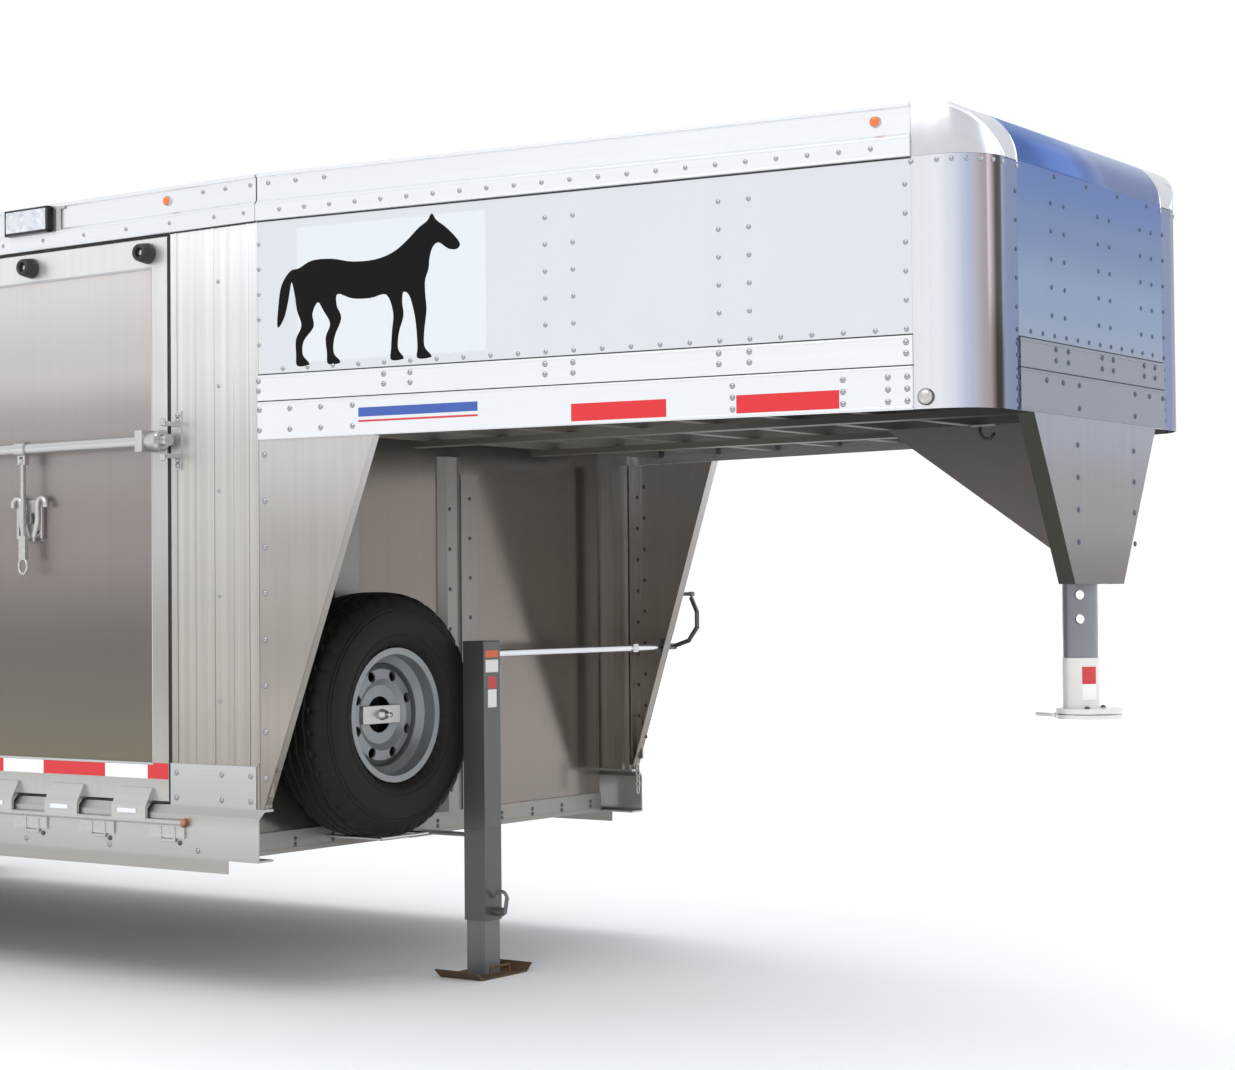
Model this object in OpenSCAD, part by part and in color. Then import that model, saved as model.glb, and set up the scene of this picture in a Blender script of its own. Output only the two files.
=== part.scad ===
// Gooseneck livestock trailer with a side loading ramp.
// Millimetres. +X runs forward to the coupler, +Y to the left side, +Z up.
// The origin is on the ground, midway along the length and on the centre line.
// Inside the modules X = 0 is the kink where the straight side walls end and
// the tapered nose starts; place() moves that point to its true position.

/* [Box] */
// Outside width over the side walls
box_w = 2032; // [1830:1:2300]
// Length from the rear face to the kink at the nose
box_l = 7315; // [7200:1:8600]
// Height of the bottom rails' underside
rail_z = 454; // [450:1:500]
// Height of the bottom rails' shoulder
shoulder_z = 617; // [600:1:660]
// Height of the floor surface
floor_z = 597; // [585:1:600]
// Height of the lower edge of the top rail band
band_z = 2451; // [2200:1:2900]
// Height of the top rail band
band_h = 148; // [120:1:170]
// Thickness of the side wall planks
wall_t = 38; // [30:1:45]
// How far the bottom rails stand out from the walls
rail_out = 24; // [16:1:28]

/* [Nose] */
// Length of the nose from the kink to its front face
nose_l = 2350; // [2000:1:2800]
// Taper of each nose side in degrees
nose_taper = 7.7; // [5:0.1:10]
// Height of the nose underside
nose_z = 1766; // [1650:1:1850]
// Height of the lower nose strip
lower_strip_h = 120; // [90:1:140]
// Height of the upper nose strip
upper_strip_h = 81; // [60:1:100]
// Radius of the vertical front corners
corner_r = 150; // [120:1:190]
// Distance between the nose posts
post_pitch = 560; // [480:1:580]
// Thickness of the nose sheets
sheet_t = 3; // [2:0.5:4]

/* [Side ramp] */
// Distance from the kink back to the ramp's front edge
ramp_front = 395; // [380:1:460]
// Width of the ramp door
ramp_w = 1282; // [1100:1:1330]
// Thickness of the ramp door
ramp_t = 42; // [36:1:48]
// Largest opening angle of the ramp
ramp_open = 106; // [90:1:107]

/* [Wheels] */
// Tyre radius
tyre_r = 403; // [370:1:404]
// Tyre section width
tyre_w = 235; // [205:1:240]
// Rim seat radius
rim_r = 203; // [190:1:204]
// Distance from the kink back to the middle of the axle pair
axle_x = 4650; // [4600:1:4900]
// Distance between the two axles
axle_pitch = 890; // [860:1:900]
// Spindle radius
spindle_r = 22; // [18:1:25]

/* [Coupler] */
// Radius of the adjustable coupler tube
coupler_r = 50.8; // [45:0.1:51]
// Distance from the kink forward to the coupler tube's axis
coupler_x = 2292; // [1950:1:2742]
// Height of the coupler's underside
coupler_z = 905; // [850:1:1000]
// Radius of the hitch ball socket
ball_r = 30; // [26:0.5:38]

/* [Jack] */
// Outside width of the square jack tube
jack_w = 89; // [80:1:92]
// Distance of the jack's axis forward of the kink
jack_x = 148; // [145:1:152]
// Distance of the jack's axis to the right of the centre line
jack_y = 97; // [95:1:105]
// Height of the crank shaft
shaft_z = 1080; // [1060:1:1100]

/* [Rear gate] */
// Thickness of the rear gate
gate_t = 40; // [34:1:44]
// Gap between the rear frame and the closed gate
gate_gap = 6; // [4:1:8]

/* [Hidden] */
$fn = 48;
eps = 0.5;               // extra length of cutting tools
slip = 0.3;              // clearance between pieces of different bodies
run = 0.05;              // radial clearance of a running fit
half = box_w / 2;
roof_z = band_z + band_h;
front_flange_r = 97;
front_flange_x = coupler_x + 25;
rear_over = 80;          // reach of the rear dock rubbers
front_over = front_flange_x + front_flange_r;
kink_x = (box_l + rear_over - front_over) / 2;
fender_out = half + rail_out + tyre_w + 20;
strip_z1 = nose_z + lower_strip_h;
strip_z2 = strip_z1 + upper_strip_h;
strip_out = 5;           // how far the nose strips stand proud
strip_in = 7;
seam_s = nose_l * 0.922; // side sheet to corner sheet seam, along the nose side
front_seam_y = 497;      // front sheet to corner sheet seam
nose_start = 2.5;        // nose pieces start this far along the nose side
post0 = -49;             // offset of the first post from the kink
bulk_x = -135;           // front face of the bulkhead
bulk_t = 4;
wing_top = 428;          // length of the wings along the nose underside
wing_bottom = 15;
wing_t = 4;
rear_post_t = 60;
floor_t = 5;
beam_h = 76;
ramp_x0 = -ramp_front - ramp_w;
ramp_x1 = -ramp_front;
ramp_z0 = shoulder_z + 10;
ramp_z1 = band_z - 12;
ramp_gap = 8;
ramp_y = -half - 4;      // outer face of the closed ramp
hinge_y = -half - rail_out - 10;
hinge_z = shoulder_z - 52;
hinge_r = 9;
cam_z = 1780;
cam_y = ramp_y - 42;
cam_r = 19;
keeper_gap = 44;
jamb_w = 62;
wheel_xs = [-axle_x + axle_pitch / 2, -axle_x - axle_pitch / 2];
wheel_y = half + rail_out + 12 + tyre_w / 2;
hub_r = 60;
coupler_wall = 9;
socket_r = coupler_r + 6.2;
coupler_top = 1700;
latch_pivot = 62;        // from the tube axis back to the latch bolt
neck_x = nose_l;
neck_top_w = 841;
neck_bot_w = 337;
neck_z = nose_z - 473;
neck_t = 6;
neck_depth = 51;
spare_y = -460;
spare_z = 888;
spare_x = bulk_x + 5 + tyre_w / 2;
jack_wall = 5;
jack_z0 = 185;
jack_z1 = shaft_z + 40;
leg_w = jack_w - 2 * (jack_wall + slip);
leg_top = shaft_z - 170;
shaft_r = 12.5;
crank_y = half + 46;
gate_x = -box_l - gate_gap;
gate_x0 = gate_x - gate_t;
gate_w = box_w - 20;
gate_z0 = floor_z + 8;
gate_z1 = band_z - 6;
gate_hinge = [-box_l - gate_gap - gate_t / 2, half + 14];
swing_x = -3450;         // centre gate
swing_y = half - wall_t - 60;
swing_z0 = floor_z + 60;
swing_z1 = swing_z0 + 1560;
swing_barrels = [swing_z0 + 200, swing_z1 - 200];
post_d = 34;             // depth of the wall posts
bow_h = 29;
post_xs = [for (x = [-6950 : 500 : -1950]) x];
front_post_xs = [-1300, -700];
vent_x0 = -box_l + rear_post_t + slip;
vent_x1 = ramp_x0 - ramp_gap;
vent_z = 1500;
slat_h = 128;
slat_n = 5;
plank_t = 3;             // skin of the hollow wall extrusions
hinge_n = 4;
hinge_shift = 68;
hinge_step = ramp_w / hinge_n;
gate_lug_zs = [gate_z0 + 160, (gate_z0 + gate_z1) / 2, gate_z1 - 160];

// ---- shared shapes --------------------------------------------------------

module place() {
  translate([kink_x, 0, 0]) children();
}

module both_sides() {
  children();
  mirror([0, 1, 0]) children();
}

// A block from its two corners.
module block(low, high) {
  translate(low) cube(high - low);
}

// A block hollowed right through along one axis: 0 is X, 1 is Y, 2 is Z.
module tube_block(low, high, axis, wall) {
  grow = [for (i = [0:2]) i == axis ? -1 : wall];
  difference() {
    block(low, high);
    block(low + grow, high - grow);
  }
}

// Children are drawn along the left nose side: X along it, +Y outwards.
module left_nose() {
  translate([0, half, 0]) rotate([0, 0, -nose_taper]) children();
}

module rod(a, b, r) {
  d = b - a;
  length = norm(d);
  translate(a)
    rotate([0, acos(d[2] / length), atan2(d[1], d[0])])
      cylinder(r = r, h = length);
}

// A profile in the X-Z plane given a thickness from y0 to y1.
module slab_xz(points, y0, y1) {
  translate([0, y1, 0]) rotate([90, 0, 0]) linear_extrude(y1 - y0) polygon(points);
}

// A profile in the Y-Z plane drawn out from x0 to x1.
module slab_yz(points, x0, x1) {
  translate([x0, 0, 0]) rotate([90, 0, 90]) linear_extrude(x1 - x0) polygon(points);
}

function arc(c, r, a0, a1, n) =
  [for (i = [0:n]) c + r * [cos(a0 + (a1 - a0) * i / n), sin(a0 + (a1 - a0) * i / n)]];

// ---- nose shell -----------------------------------------------------------

corner_c = [nose_l - corner_r,
  half - (corner_r + (nose_l - corner_r) * sin(nose_taper)) / cos(nose_taper)];
function flip_y(points) = [for (i = [len(points) - 1:-1:0]) [points[i][0], -points[i][1]]];
function nose_plan(inset) = let (
    left = concat(arc(corner_c, corner_r - inset, 0, 90 - nose_taper, 12),
      [[0, half - inset / cos(nose_taper)]]))
  concat(left, flip_y(left));

function cove_profile(inset) = concat(
    [[-10, nose_z - 10], [nose_l - inset, nose_z - 10]],
    arc([nose_l - band_h, band_z], band_h - inset, 0, 90, 10),
    [[-10, roof_z - inset]]);

module nose_solid(inset) {
  intersection() {
    translate([0, 0, nose_z - 20]) linear_extrude(roof_z - nose_z + 40) polygon(nose_plan(inset));
    slab_xz(cove_profile(inset), -half, half);
  }
}

module nose_shell(t) {
  difference() {
    nose_solid(0);
    nose_solid(t);
  }
}

// Plan area of the left front corner, between the two sheet seams.
module left_corner_zone(z0, z1) {
  seam = [seam_s * cos(nose_taper), half - seam_s * sin(nose_taper)];
  out = [sin(nose_taper), cos(nose_taper)];
  translate([0, 0, z0]) linear_extrude(z1 - z0)
    polygon([seam + 40 * out, seam - 40 * out, [nose_l - 40, front_seam_y],
      [nose_l + 20, front_seam_y], [nose_l + 20, half]]);
}

module nose_sides() {
  color("#d9dce0") place() both_sides() left_nose()
    block([nose_start, -sheet_t, strip_z2], [seam_s - slip, 0, band_z]);
}

module nose_front() {
  color("#b9c8dd") place()
    block([nose_l - sheet_t, -front_seam_y + slip, strip_z2], [nose_l, front_seam_y - slip, band_z]);
}

module nose_corners() {
  color("#e4e7ea") place() both_sides() intersection() {
    nose_shell(sheet_t);
    left_corner_zone(nose_z, band_z - slip);
  }
}

// Cast caps: they close the corner from the band up, back to the roof sheet.
module corner_caps() {
  seam = [seam_s * cos(nose_taper), half - seam_s * sin(nose_taper)];
  out = [sin(nose_taper), cos(nose_taper)];
  reach = (seam[1] - front_seam_y) / cos(nose_taper);
  color("#c6c9cc") place() both_sides() intersection() {
    nose_shell(sheet_t + 2);
    translate([0, 0, band_z]) linear_extrude(band_h + 1)
      polygon([seam + 40 * out, seam - reach * out, [nose_l + 20, front_seam_y], [nose_l + 20, half]]);
  }
}

module front_cove() {
  color("#b9c8dd") place() intersection() {
    nose_shell(sheet_t);
    block([nose_l - band_h, -front_seam_y + slip, band_z],
      [nose_l + 1, front_seam_y - slip, roof_z + 1]);
  }
}

module nose_strip(z0, z1) {
  both_sides() left_nose() block([nose_start, -strip_in, z0], [seam_s - slip, strip_out, z1]);
  block([nose_l - strip_in, -front_seam_y + slip, z0],
    [nose_l + strip_out, front_seam_y - slip, z1]);
}

module nose_strips() {
  color("#dfe2e5") place() {
    nose_strip(nose_z, strip_z1 - slip);
    nose_strip(strip_z1, strip_z2 - slip);
  }
}

// Cross beams and two long rails under the nose floor, and posts inside its walls.
module nose_frame() {
  color("#8f9294") place() {
    for (i = [0:6]) {
      x = 160 + i * post_pitch / 2 + post0;
      y = half - (x + 60) * tan(nose_taper) - 20;
      tube_block([x, -y, nose_z + 24], [x + 40, y, strip_z1 - 14], 1, 4);
    }
    both_sides() tube_block([60, 300, nose_z + 4], [nose_l - 20, 360, nose_z + 24], 0, 4);
    tube_block([nose_l - 70, -480, nose_z + 24], [nose_l - 20, 480, strip_z1 - 14], 1, 4);
    both_sides() left_nose() for (i = [1:3])
      tube_block([post0 + i * post_pitch - 60, -sheet_t - 30, strip_z2],
        [post0 + i * post_pitch + 60, -sheet_t, band_z], 2, 4);
    for (y = [-240, 70, 372])
      tube_block([nose_l - sheet_t - 30, y - 60, strip_z2], [nose_l - sheet_t, y + 60, band_z], 2, 4);
  }
}

// ---- neck and coupler -----------------------------------------------------

function neck_outline(inset) = [
  [-neck_top_w / 2 + inset, nose_z], [-neck_bot_w / 2 + inset, neck_z],
  [neck_bot_w / 2 - inset, neck_z], [neck_top_w / 2 - inset, nose_z]];

module neck_plate() {
  color("#b4b7ba") place() difference() {
    slab_yz(neck_outline(0), neck_x + neck_t - neck_depth, neck_x + neck_t);
    translate([-eps, 0, 0])
      slab_yz(neck_outline(neck_t), neck_x + neck_t - neck_depth, neck_x + eps);
    block([neck_x - neck_depth, -neck_bot_w / 2 + neck_t, neck_z - 1],
      [neck_x, neck_bot_w / 2 - neck_t, neck_z + 1]);
  }
}

module neck_gussets() {
  back = coupler_x - 28;
  color("#6f7174") place() both_sides() slab_xz([
    [coupler_x - 597, nose_z], [back, neck_z + 81], [back + 8, neck_z], [neck_x - slip, neck_z],
    [neck_x - slip, nose_z]], socket_r + slip, socket_r + slip + 6);
}

module coupler_socket() {
  color("#6a6d70") place() translate([coupler_x, 0, neck_z + 2]) difference() {
    cylinder(r = socket_r, h = nose_z - neck_z - 2 - slip);
    translate([0, 0, -eps]) cylinder(r = coupler_r + slip, h = nose_z + 30 - neck_z);
  }
}

module coupler_tube() {
  color("#75787b") place() difference() {
    translate([coupler_x, 0, coupler_z + 175]) cylinder(r = coupler_r, h = coupler_top - coupler_z - 175);
    translate([coupler_x, 0, coupler_z + 174])
      cylinder(r = coupler_r - coupler_wall, h = coupler_top - coupler_z);
    for (dz = [287, 357])
      translate([coupler_x, 0, coupler_z + dz]) rotate([0, 0, 22]) rotate([90, 0, 0])
        cylinder(r = 14, h = 3 * coupler_r, center = true);
  }
}

module coupler_head() {
  color("#d8d8d4") place() difference() {
    union() {
      translate([coupler_x, 0, coupler_z + 16]) cylinder(r = coupler_r + 3, h = 159);
      translate([front_flange_x, 0, coupler_z + 16]) cylinder(r = front_flange_r, h = 14);
      translate([coupler_x, 0, coupler_z + 174])
        cylinder(r = coupler_r - coupler_wall - slip, h = 40);
      translate([coupler_x - latch_pivot, 0, coupler_z + 1]) cylinder(r = 8, h = 20);
    }
    translate([coupler_x, 0, coupler_z + 15]) cylinder(r = ball_r, h = 50);
    translate([coupler_x, 0, coupler_z + 65]) sphere(r = ball_r);
  }
}

// Swivelling lock plate under the head; drawn open, clear of the socket.
module coupler_latch() {
  color("#d0d0cc") place() difference() {
    union() {
      translate([front_flange_x, 0, coupler_z]) cylinder(r = front_flange_r - 2, h = 12);
      translate([coupler_x - latch_pivot, 0, coupler_z]) cylinder(r = 22, h = 16 - slip);
      block([coupler_x - 100, 12, coupler_z], [coupler_x - latch_pivot + 4, 40, coupler_z + 12]);
      rod([coupler_x - 90, 24, coupler_z + 6], [coupler_x - 170, 60, coupler_z + 6], 6);
    }
    translate([coupler_x, 0, coupler_z - 1]) cylinder(r = ball_r + 16, h = 14);
    translate([coupler_x - latch_pivot, 0, coupler_z - 1]) cylinder(r = 8 + run, h = 18);
  }
}

// ---- box ------------------------------------------------------------------

module floor_sheets() {
  color("#a9acae") place() {
    block([-box_l + rear_post_t, -half + 46, floor_z - floor_t], [bulk_x - bulk_t, half - 46, floor_z]);
    translate([0, 0, strip_z1 - 14]) linear_extrude(4) intersection() {
      polygon(nose_plan(strip_in + slip));
      translate([2, -half]) square([nose_l - 20, box_w]);
    }
  }
}

module floor_beams() {
  i_beam = [[-30, 0], [30, 0], [30, 7], [4, 7], [4, beam_h - 7], [30, beam_h - 7], [30, beam_h],
    [-30, beam_h], [-30, beam_h - 7], [-4, beam_h - 7], [-4, 7], [-30, 7]];
  color("#8d9092") place()
    for (x = [-box_l + 150 : 305 : bulk_x - 60])
      translate([x, 0, floor_z - floor_t - beam_h])
        slab_xz(i_beam, -half + 46, half - 46);
}

// Extruded side sills: deep lower face, 45 degree shoulder, inner ledge.
module bottom_rails() {
  lower = [[-half + 45, rail_z], [-half - rail_out, rail_z], [-half - rail_out, shoulder_z - 26],
    [-half - 4, shoulder_z - 2], [-half - 4, shoulder_z], [-half + 45, shoulder_z],
    [-half + 45, shoulder_z - 8], [-half + 6, shoulder_z - 8], [-half - rail_out + 6, shoulder_z - 30],
    [-half - rail_out + 6, rail_z + 6], [-half + 45, rail_z + 6]];
  color("#cfd2d4") place() {
    both_sides() slab_yz(lower, -box_l + rear_post_t + slip, 15);
    for (ends = [[ramp_x1 + ramp_gap, -12], [-box_l + rear_post_t + slip, ramp_x0 - ramp_gap]])
      block([ends[0], -half - 4, shoulder_z + slip], [ends[1], -half, shoulder_z + 133]);
    block([-box_l + rear_post_t + slip, half, shoulder_z + slip], [-12, half + 4, shoulder_z + 133]);
    both_sides()
      block([wheel_xs[0] + tyre_r + 120, half + 14, rail_z - 42], [-121, half + 18, rail_z - slip]);
  }
}

// Solid planks: beside the ramp, opposite it, and along the lower rear walls.
module side_planks() {
  color("#bcbdba") place() {
    tube_block([ramp_x1 + ramp_gap, -half, shoulder_z], [-slip, -half + wall_t, band_z], 2, plank_t);
    tube_block([vent_x1 + slip, half - wall_t, shoulder_z], [-slip, half, band_z], 2, plank_t);
    both_sides() tube_block([vent_x0, half - wall_t, shoulder_z], [vent_x1, half, vent_z], 2, plank_t);
  }
}

// Horizontal slats with open air gaps in the upper rear walls.
module vent_slats() {
  pitch = (band_z - vent_z) / slat_n;
  color("#c3c5c3") place() both_sides() for (i = [1:slat_n])
    tube_block([vent_x0, half - 26, vent_z + i * pitch - slat_h], [vent_x1, half, vent_z + i * pitch],
      0, plank_t);
}

// Wall posts and the roof bows between them.
module hoop_frames() {
  color("#a3a6a8") place() {
    for (x = post_xs) {
      both_sides() tube_block([x - 25, half - wall_t - post_d, shoulder_z],
        [x + 25, half - wall_t, roof_z - bow_h - 9 - slip], 2, 4);
      both_sides() block([x - 12, half - wall_t, vent_z], [x + 12, half - 26, band_z]);
    }
    for (x = concat(post_xs, front_post_xs))
      tube_block([x - 25, -half + 16, roof_z - bow_h - 9], [x + 25, half - 16, roof_z - 9], 1, 4);
    for (x = front_post_xs)
      tube_block([x - 25, half - wall_t - post_d, shoulder_z],
        [x + 25, half - wall_t, roof_z - bow_h - 9 - slip], 2, 4);
    for (i = [1:3]) {
      x = post0 + i * post_pitch;
      y = half - (x + 40) * tan(nose_taper) - 20;
      tube_block([x - 20, -y, roof_z - bow_h - 9], [x + 20, y, roof_z - 9], 1, 4);
    }
    for (z = swing_barrels) {
      block([swing_x - 12, swing_y - 12, z - 14 - slip],
        [swing_x + 12, half - wall_t - post_d - slip, z - slip]);
      translate([swing_x, swing_y, z - 1]) cylinder(r = 6, h = 72);
    }
  }
}

// Inner jambs and header of the ramp doorway, and the lock bar's keepers.
module door_frame() {
  y0 = ramp_y + ramp_t + 3;
  color("#b3b5b4") place() {
    for (x = [ramp_x1 - 14, ramp_x0 + 14 - jamb_w])
      block([x, y0, shoulder_z], [x + jamb_w, y0 + 42, ramp_z1 - 45 - slip]);
    block([ramp_x0 + 14 - jamb_w, y0, ramp_z1 - 45], [ramp_x1 - 14 + jamb_w, y0 + 42, roof_z - 38]);
    for (x = [ramp_x0 - 62, ramp_x1 + 34]) {
      block([x, -half - 6, cam_z - 94], [x + 28, -half, cam_z + 94]);
      for (dz = [-keeper_gap - 14, keeper_gap])
        block([x, cam_y - 22, cam_z + dz], [x + 28, -half - 6 - slip, cam_z + dz + 14]);
    }
  }
}

function band_section() = [[-14, band_z], [8, band_z], [8, band_z + 56], [2, band_z + 64],
  [2, roof_z - 14], [6, roof_z - 10], [6, roof_z], [-14, roof_z], [-14, roof_z - 6],
  [-8, roof_z - 6], [-8, band_z + 6], [-14, band_z + 6]];

module top_rails() {
  color("#d6d9dc") place() both_sides() {
    translate([0, half, 0]) slab_yz(band_section(), -box_l + rear_post_t + slip, -3);
    left_nose() slab_yz(band_section(), nose_start, seam_s - slip);
  }
}

module roof_sheet() {
  color("#c9cccf") place() translate([0, 0, roof_z - 9]) linear_extrude(2) union() {
    translate([-box_l + rear_post_t, -half + 14.3])
      square([box_l - rear_post_t + 1, box_w - 28.6]);
    intersection() {
      polygon(nose_plan(16));
      translate([0, -half]) square([nose_l - band_h - 1, box_w]);
    }
  }
}

module bulkhead_sheet() {
  color("#97958f") place()
    block([bulk_x - bulk_t, -half + 46, rail_z], [bulk_x, half - 46, strip_z1 - 14]);
}

// Sill angle, pressed post and cover strip on the bulkhead's front.
module bulkhead_frame() {
  post = [[15, 0], [38, 26], [92, 26], [140, 0]];
  color("#8b8984") place() {
    block([bulk_x, -half + 46, rail_z], [bulk_x + 7, half - 46, rail_z + 71]);
    translate([bulk_x, 0, rail_z + 71]) linear_extrude(nose_z - rail_z - 73)
      polygon([for (p = post) [p[1], p[0]]]);
    block([bulk_x, 142, rail_z + 71], [bulk_x + 5, 236, nose_z - 60]);
    block([bulk_x, -520, spare_z + 110], [bulk_x + 4, -400, nose_z - 60]);
  }
}

// Tapered side plates that tie the box to the nose in front of the bulkhead, each
// with a folded lip, and the vertical angles riveted inside them.
module wings() {
  plate = [[nose_start, nose_z - slip], [wing_top, nose_z - slip], [wing_bottom, shoulder_z],
    [nose_start, shoulder_z]];
  lip = [[wing_top - 4, nose_z - 1], [wing_top, nose_z - 1], [wing_bottom + 6, shoulder_z + 14],
    [wing_bottom + 2, shoulder_z + 14]];
  color("#a7a6a1") place() difference() {
    both_sides() {
      left_nose() {
        slab_xz(plate, -wing_t, 0);
        slab_xz(lip, -34, -wing_t);
        block([20, -12, shoulder_z + 40], [46, -wing_t, nose_z - 2]);
        block([12, -36, shoulder_z + 40], [20, -wing_t, nose_z - 2]);
      }
      block([-48, half - wall_t - 30, shoulder_z], [-12, half - wall_t, nose_z]);
    }
    shaft_hole(shaft_r + 3);
  }
}

// ---- wheels ---------------------------------------------------------------

// Wheel and tyre are drawn about the Y axis with the outside at -Y.
module rim_shape(bore_r) {
  wide = tyre_w / 2 - 24;
  barrel = [[rim_r + 17, wide], [rim_r + 17, wide - 7], [rim_r + 1, wide - 12], [rim_r - 2, wide - 50],
    [rim_r - 26, wide - 66], [rim_r - 26, -wide + 66], [rim_r - 2, -wide + 50],
    [rim_r + 1, -wide + 12], [rim_r + 17, -wide + 7], [rim_r + 17, -wide],
    [rim_r - 4, -wide + 2], [rim_r - 8, -wide + 44], [rim_r - 32, -wide + 62],
    [rim_r - 32, wide - 62], [rim_r - 8, wide - 44], [rim_r - 4, wide - 2]];
  disc = [[bore_r, 14], [bore_r, 20], [96, 20], [118, 34], [150, 30], [rim_r - 31, 4],
    [rim_r - 31, -8], [146, 22], [118, 27], [100, 14]];
  rotate([90, 0, 0]) difference() {
    union() {
      rotate_extrude() polygon(barrel);
      rotate_extrude() polygon(disc);
    }
    for (i = [0:7])
      rotate([0, 0, (i + 0.5) * 45]) translate([134, 0, -20]) cylinder(r = 17, h = 80);
  }
}

module hub_shape() {
  rotate([90, 0, 0]) difference() {
    union() {
      translate([0, 0, -48]) cylinder(r = hub_r, h = 90);
      translate([0, 0, -1]) cylinder(r = 94, h = 14.7);
      translate([0, 0, 42]) cylinder(r = 30, h = 34);
      for (i = [0:7])
        rotate([0, 0, i * 45]) translate([82.5, 0, 12]) cylinder(r = 11, h = 32, $fn = 6);
    }
    translate([0, 0, -49]) cylinder(r = spindle_r + run, h = 92);
  }
}

module tyre_shape() {
  w = tyre_w / 2;
  r0 = rim_r + slip + 1;
  hollow = [[r0 - 1, w - 57], [rim_r + 24, w - 50], [rim_r + 92, w - 12], [tyre_r - 40, w - 22],
    [tyre_r - 18, w - 60]];
  profile = [[r0, w - 43], [rim_r + 18, w - 38], [rim_r + 27, w - 20], [rim_r + 50, w - 4], [rim_r + 92, w],
    [tyre_r - 58, w - 6], [tyre_r - 20, w - 22], [tyre_r - 6, w - 42], [tyre_r, w - 64]];
  rotate([90, 0, 0]) rotate_extrude($fn = 96) difference() {
    polygon(concat(profile, flip_y(profile)));
    polygon(concat(hollow, flip_y(hollow)));
  }
}

module wheel_at(i, side) {
  translate([wheel_xs[i], side * wheel_y, tyre_r]) rotate([0, 0, side > 0 ? 180 : 0]) children();
}

module wheel() {
  rim_shape(hub_r + slip);
  hub_shape();
}

module wheel_fr() { color("#8e9192") place() wheel_at(0, -1) wheel(); }
module wheel_rr() { color("#8e9192") place() wheel_at(1, -1) wheel(); }
module wheel_fl() { color("#8e9192") place() wheel_at(0, 1) wheel(); }
module wheel_rl() { color("#8e9192") place() wheel_at(1, 1) wheel(); }
module tyre_fr() { color("#1c1c1c") place() wheel_at(0, -1) tyre_shape(); }
module tyre_rr() { color("#1c1c1c") place() wheel_at(1, -1) tyre_shape(); }
module tyre_fl() { color("#1c1c1c") place() wheel_at(0, 1) tyre_shape(); }
module tyre_rl() { color("#1c1c1c") place() wheel_at(1, 1) tyre_shape(); }

module spare_rim() {
  color("#8e9192") place() translate([spare_x, spare_y, spare_z]) rotate([0, 0, 90])
    rim_shape(hub_r);
}

module spare_tyre() {
  color("#1c1c1c") place() translate([spare_x, spare_y, spare_z]) rotate([0, 0, 90]) tyre_shape();
}

// Stud, hold-down plate and the bent rod that the spare tyre stands on.
module spare_carrier() {
  rest_y = 110;
  front = spare_x + tyre_w / 2 + 8;
  rest_z = spare_z - sqrt(pow(tyre_r + 6.3, 2) - rest_y * rest_y);
  color("#a9abad") place() {
    translate([bulk_x, spare_y, spare_z]) rotate([0, 90, 0]) cylinder(r = 8, h = spare_x + 65 - bulk_x);
    block([spare_x + 20.5, spare_y - 88, spare_z - 20], [spare_x + 26, spare_y - 8.5, spare_z + 20]);
    block([spare_x + 20.5, spare_y + 8.5, spare_z - 20], [spare_x + 26, spare_y + 88, spare_z + 20]);
    translate([spare_x + 26.5, spare_y, spare_z]) rotate([0, 90, 0]) difference() {
      cylinder(r = 14, h = 12, $fn = 6);
      translate([0, 0, -1]) cylinder(r = 8.3, h = 14);
    }
    for (side = [-1, 1])
      rod([bulk_x + 7, spare_y + side * rest_y, rest_z], [front + 1, spare_y + side * rest_y, rest_z], 6);
    rod([front, spare_y - rest_y - 5, rest_z], [front, spare_y + rest_y + 5, rest_z], 5.8);
  }
}

// ---- jack -----------------------------------------------------------------

module square_tube(w, wall, z0, z1) {
  difference() {
    block([-w / 2, -w / 2, z0], [w / 2, w / 2, z1]);
    block([-w / 2 + wall, -w / 2 + wall, z0 - eps], [w / 2 - wall, w / 2 - wall, z1 + eps]);
  }
}

module at_jack() {
  translate([jack_x, -jack_y, 0]) children();
}

module jack_tube() {
  color("#565756") place() at_jack() difference() {
    union() {
      square_tube(jack_w, jack_wall, jack_z0, jack_z1);
      block([-jack_w / 2, -jack_w / 2, jack_z1 - 6], [jack_w / 2, jack_w / 2, jack_z1]);
      translate([jack_w / 2, 0, jack_z0 + 30]) rotate([0, 90, 0]) cylinder(r = 15, h = 40);
    }
    translate([0, 0, shaft_z]) rotate([-90, 0, 0]) cylinder(r = shaft_r + run, h = jack_w);
    translate([jack_w / 2 - 2 * jack_wall, 0, jack_z0 + 30]) rotate([0, 90, 0])
      cylinder(r = 8 + run, h = 60);
  }
}

// Where the crank shaft goes through the left wing.
module shaft_hole(r) {
  translate([jack_x, half - 120, shaft_z]) rotate([-90, 0, 0]) cylinder(r = r, h = 140);
}

// Side plates to the bulkhead, and the shaft bearing on the left wing.
module jack_mounts() {
  left = -jack_y + jack_w / 2;
  color("#77787a") place() {
    block([bulk_x + 4, left, spare_z], [jack_x + jack_w / 2, left + 6, spare_z + 150]);
    block([bulk_x, left, spare_z], [bulk_x + 4, left + 60, spare_z + 150]);
    block([bulk_x + 7, -jack_y - 40, rail_z + 10], [jack_x - jack_w / 2, -jack_y + 40, rail_z + 16]);
    block([bulk_x + 7, -jack_y - 60, rail_z - 4], [bulk_x + 13, -jack_y + 60, rail_z + 10]);
    difference() {
      left_nose() block([jack_x - 26, -34, shaft_z - 28], [jack_x + 17, -wing_t, shaft_z + 28]);
      shaft_hole(shaft_r + run);
    }
  }
}

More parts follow.
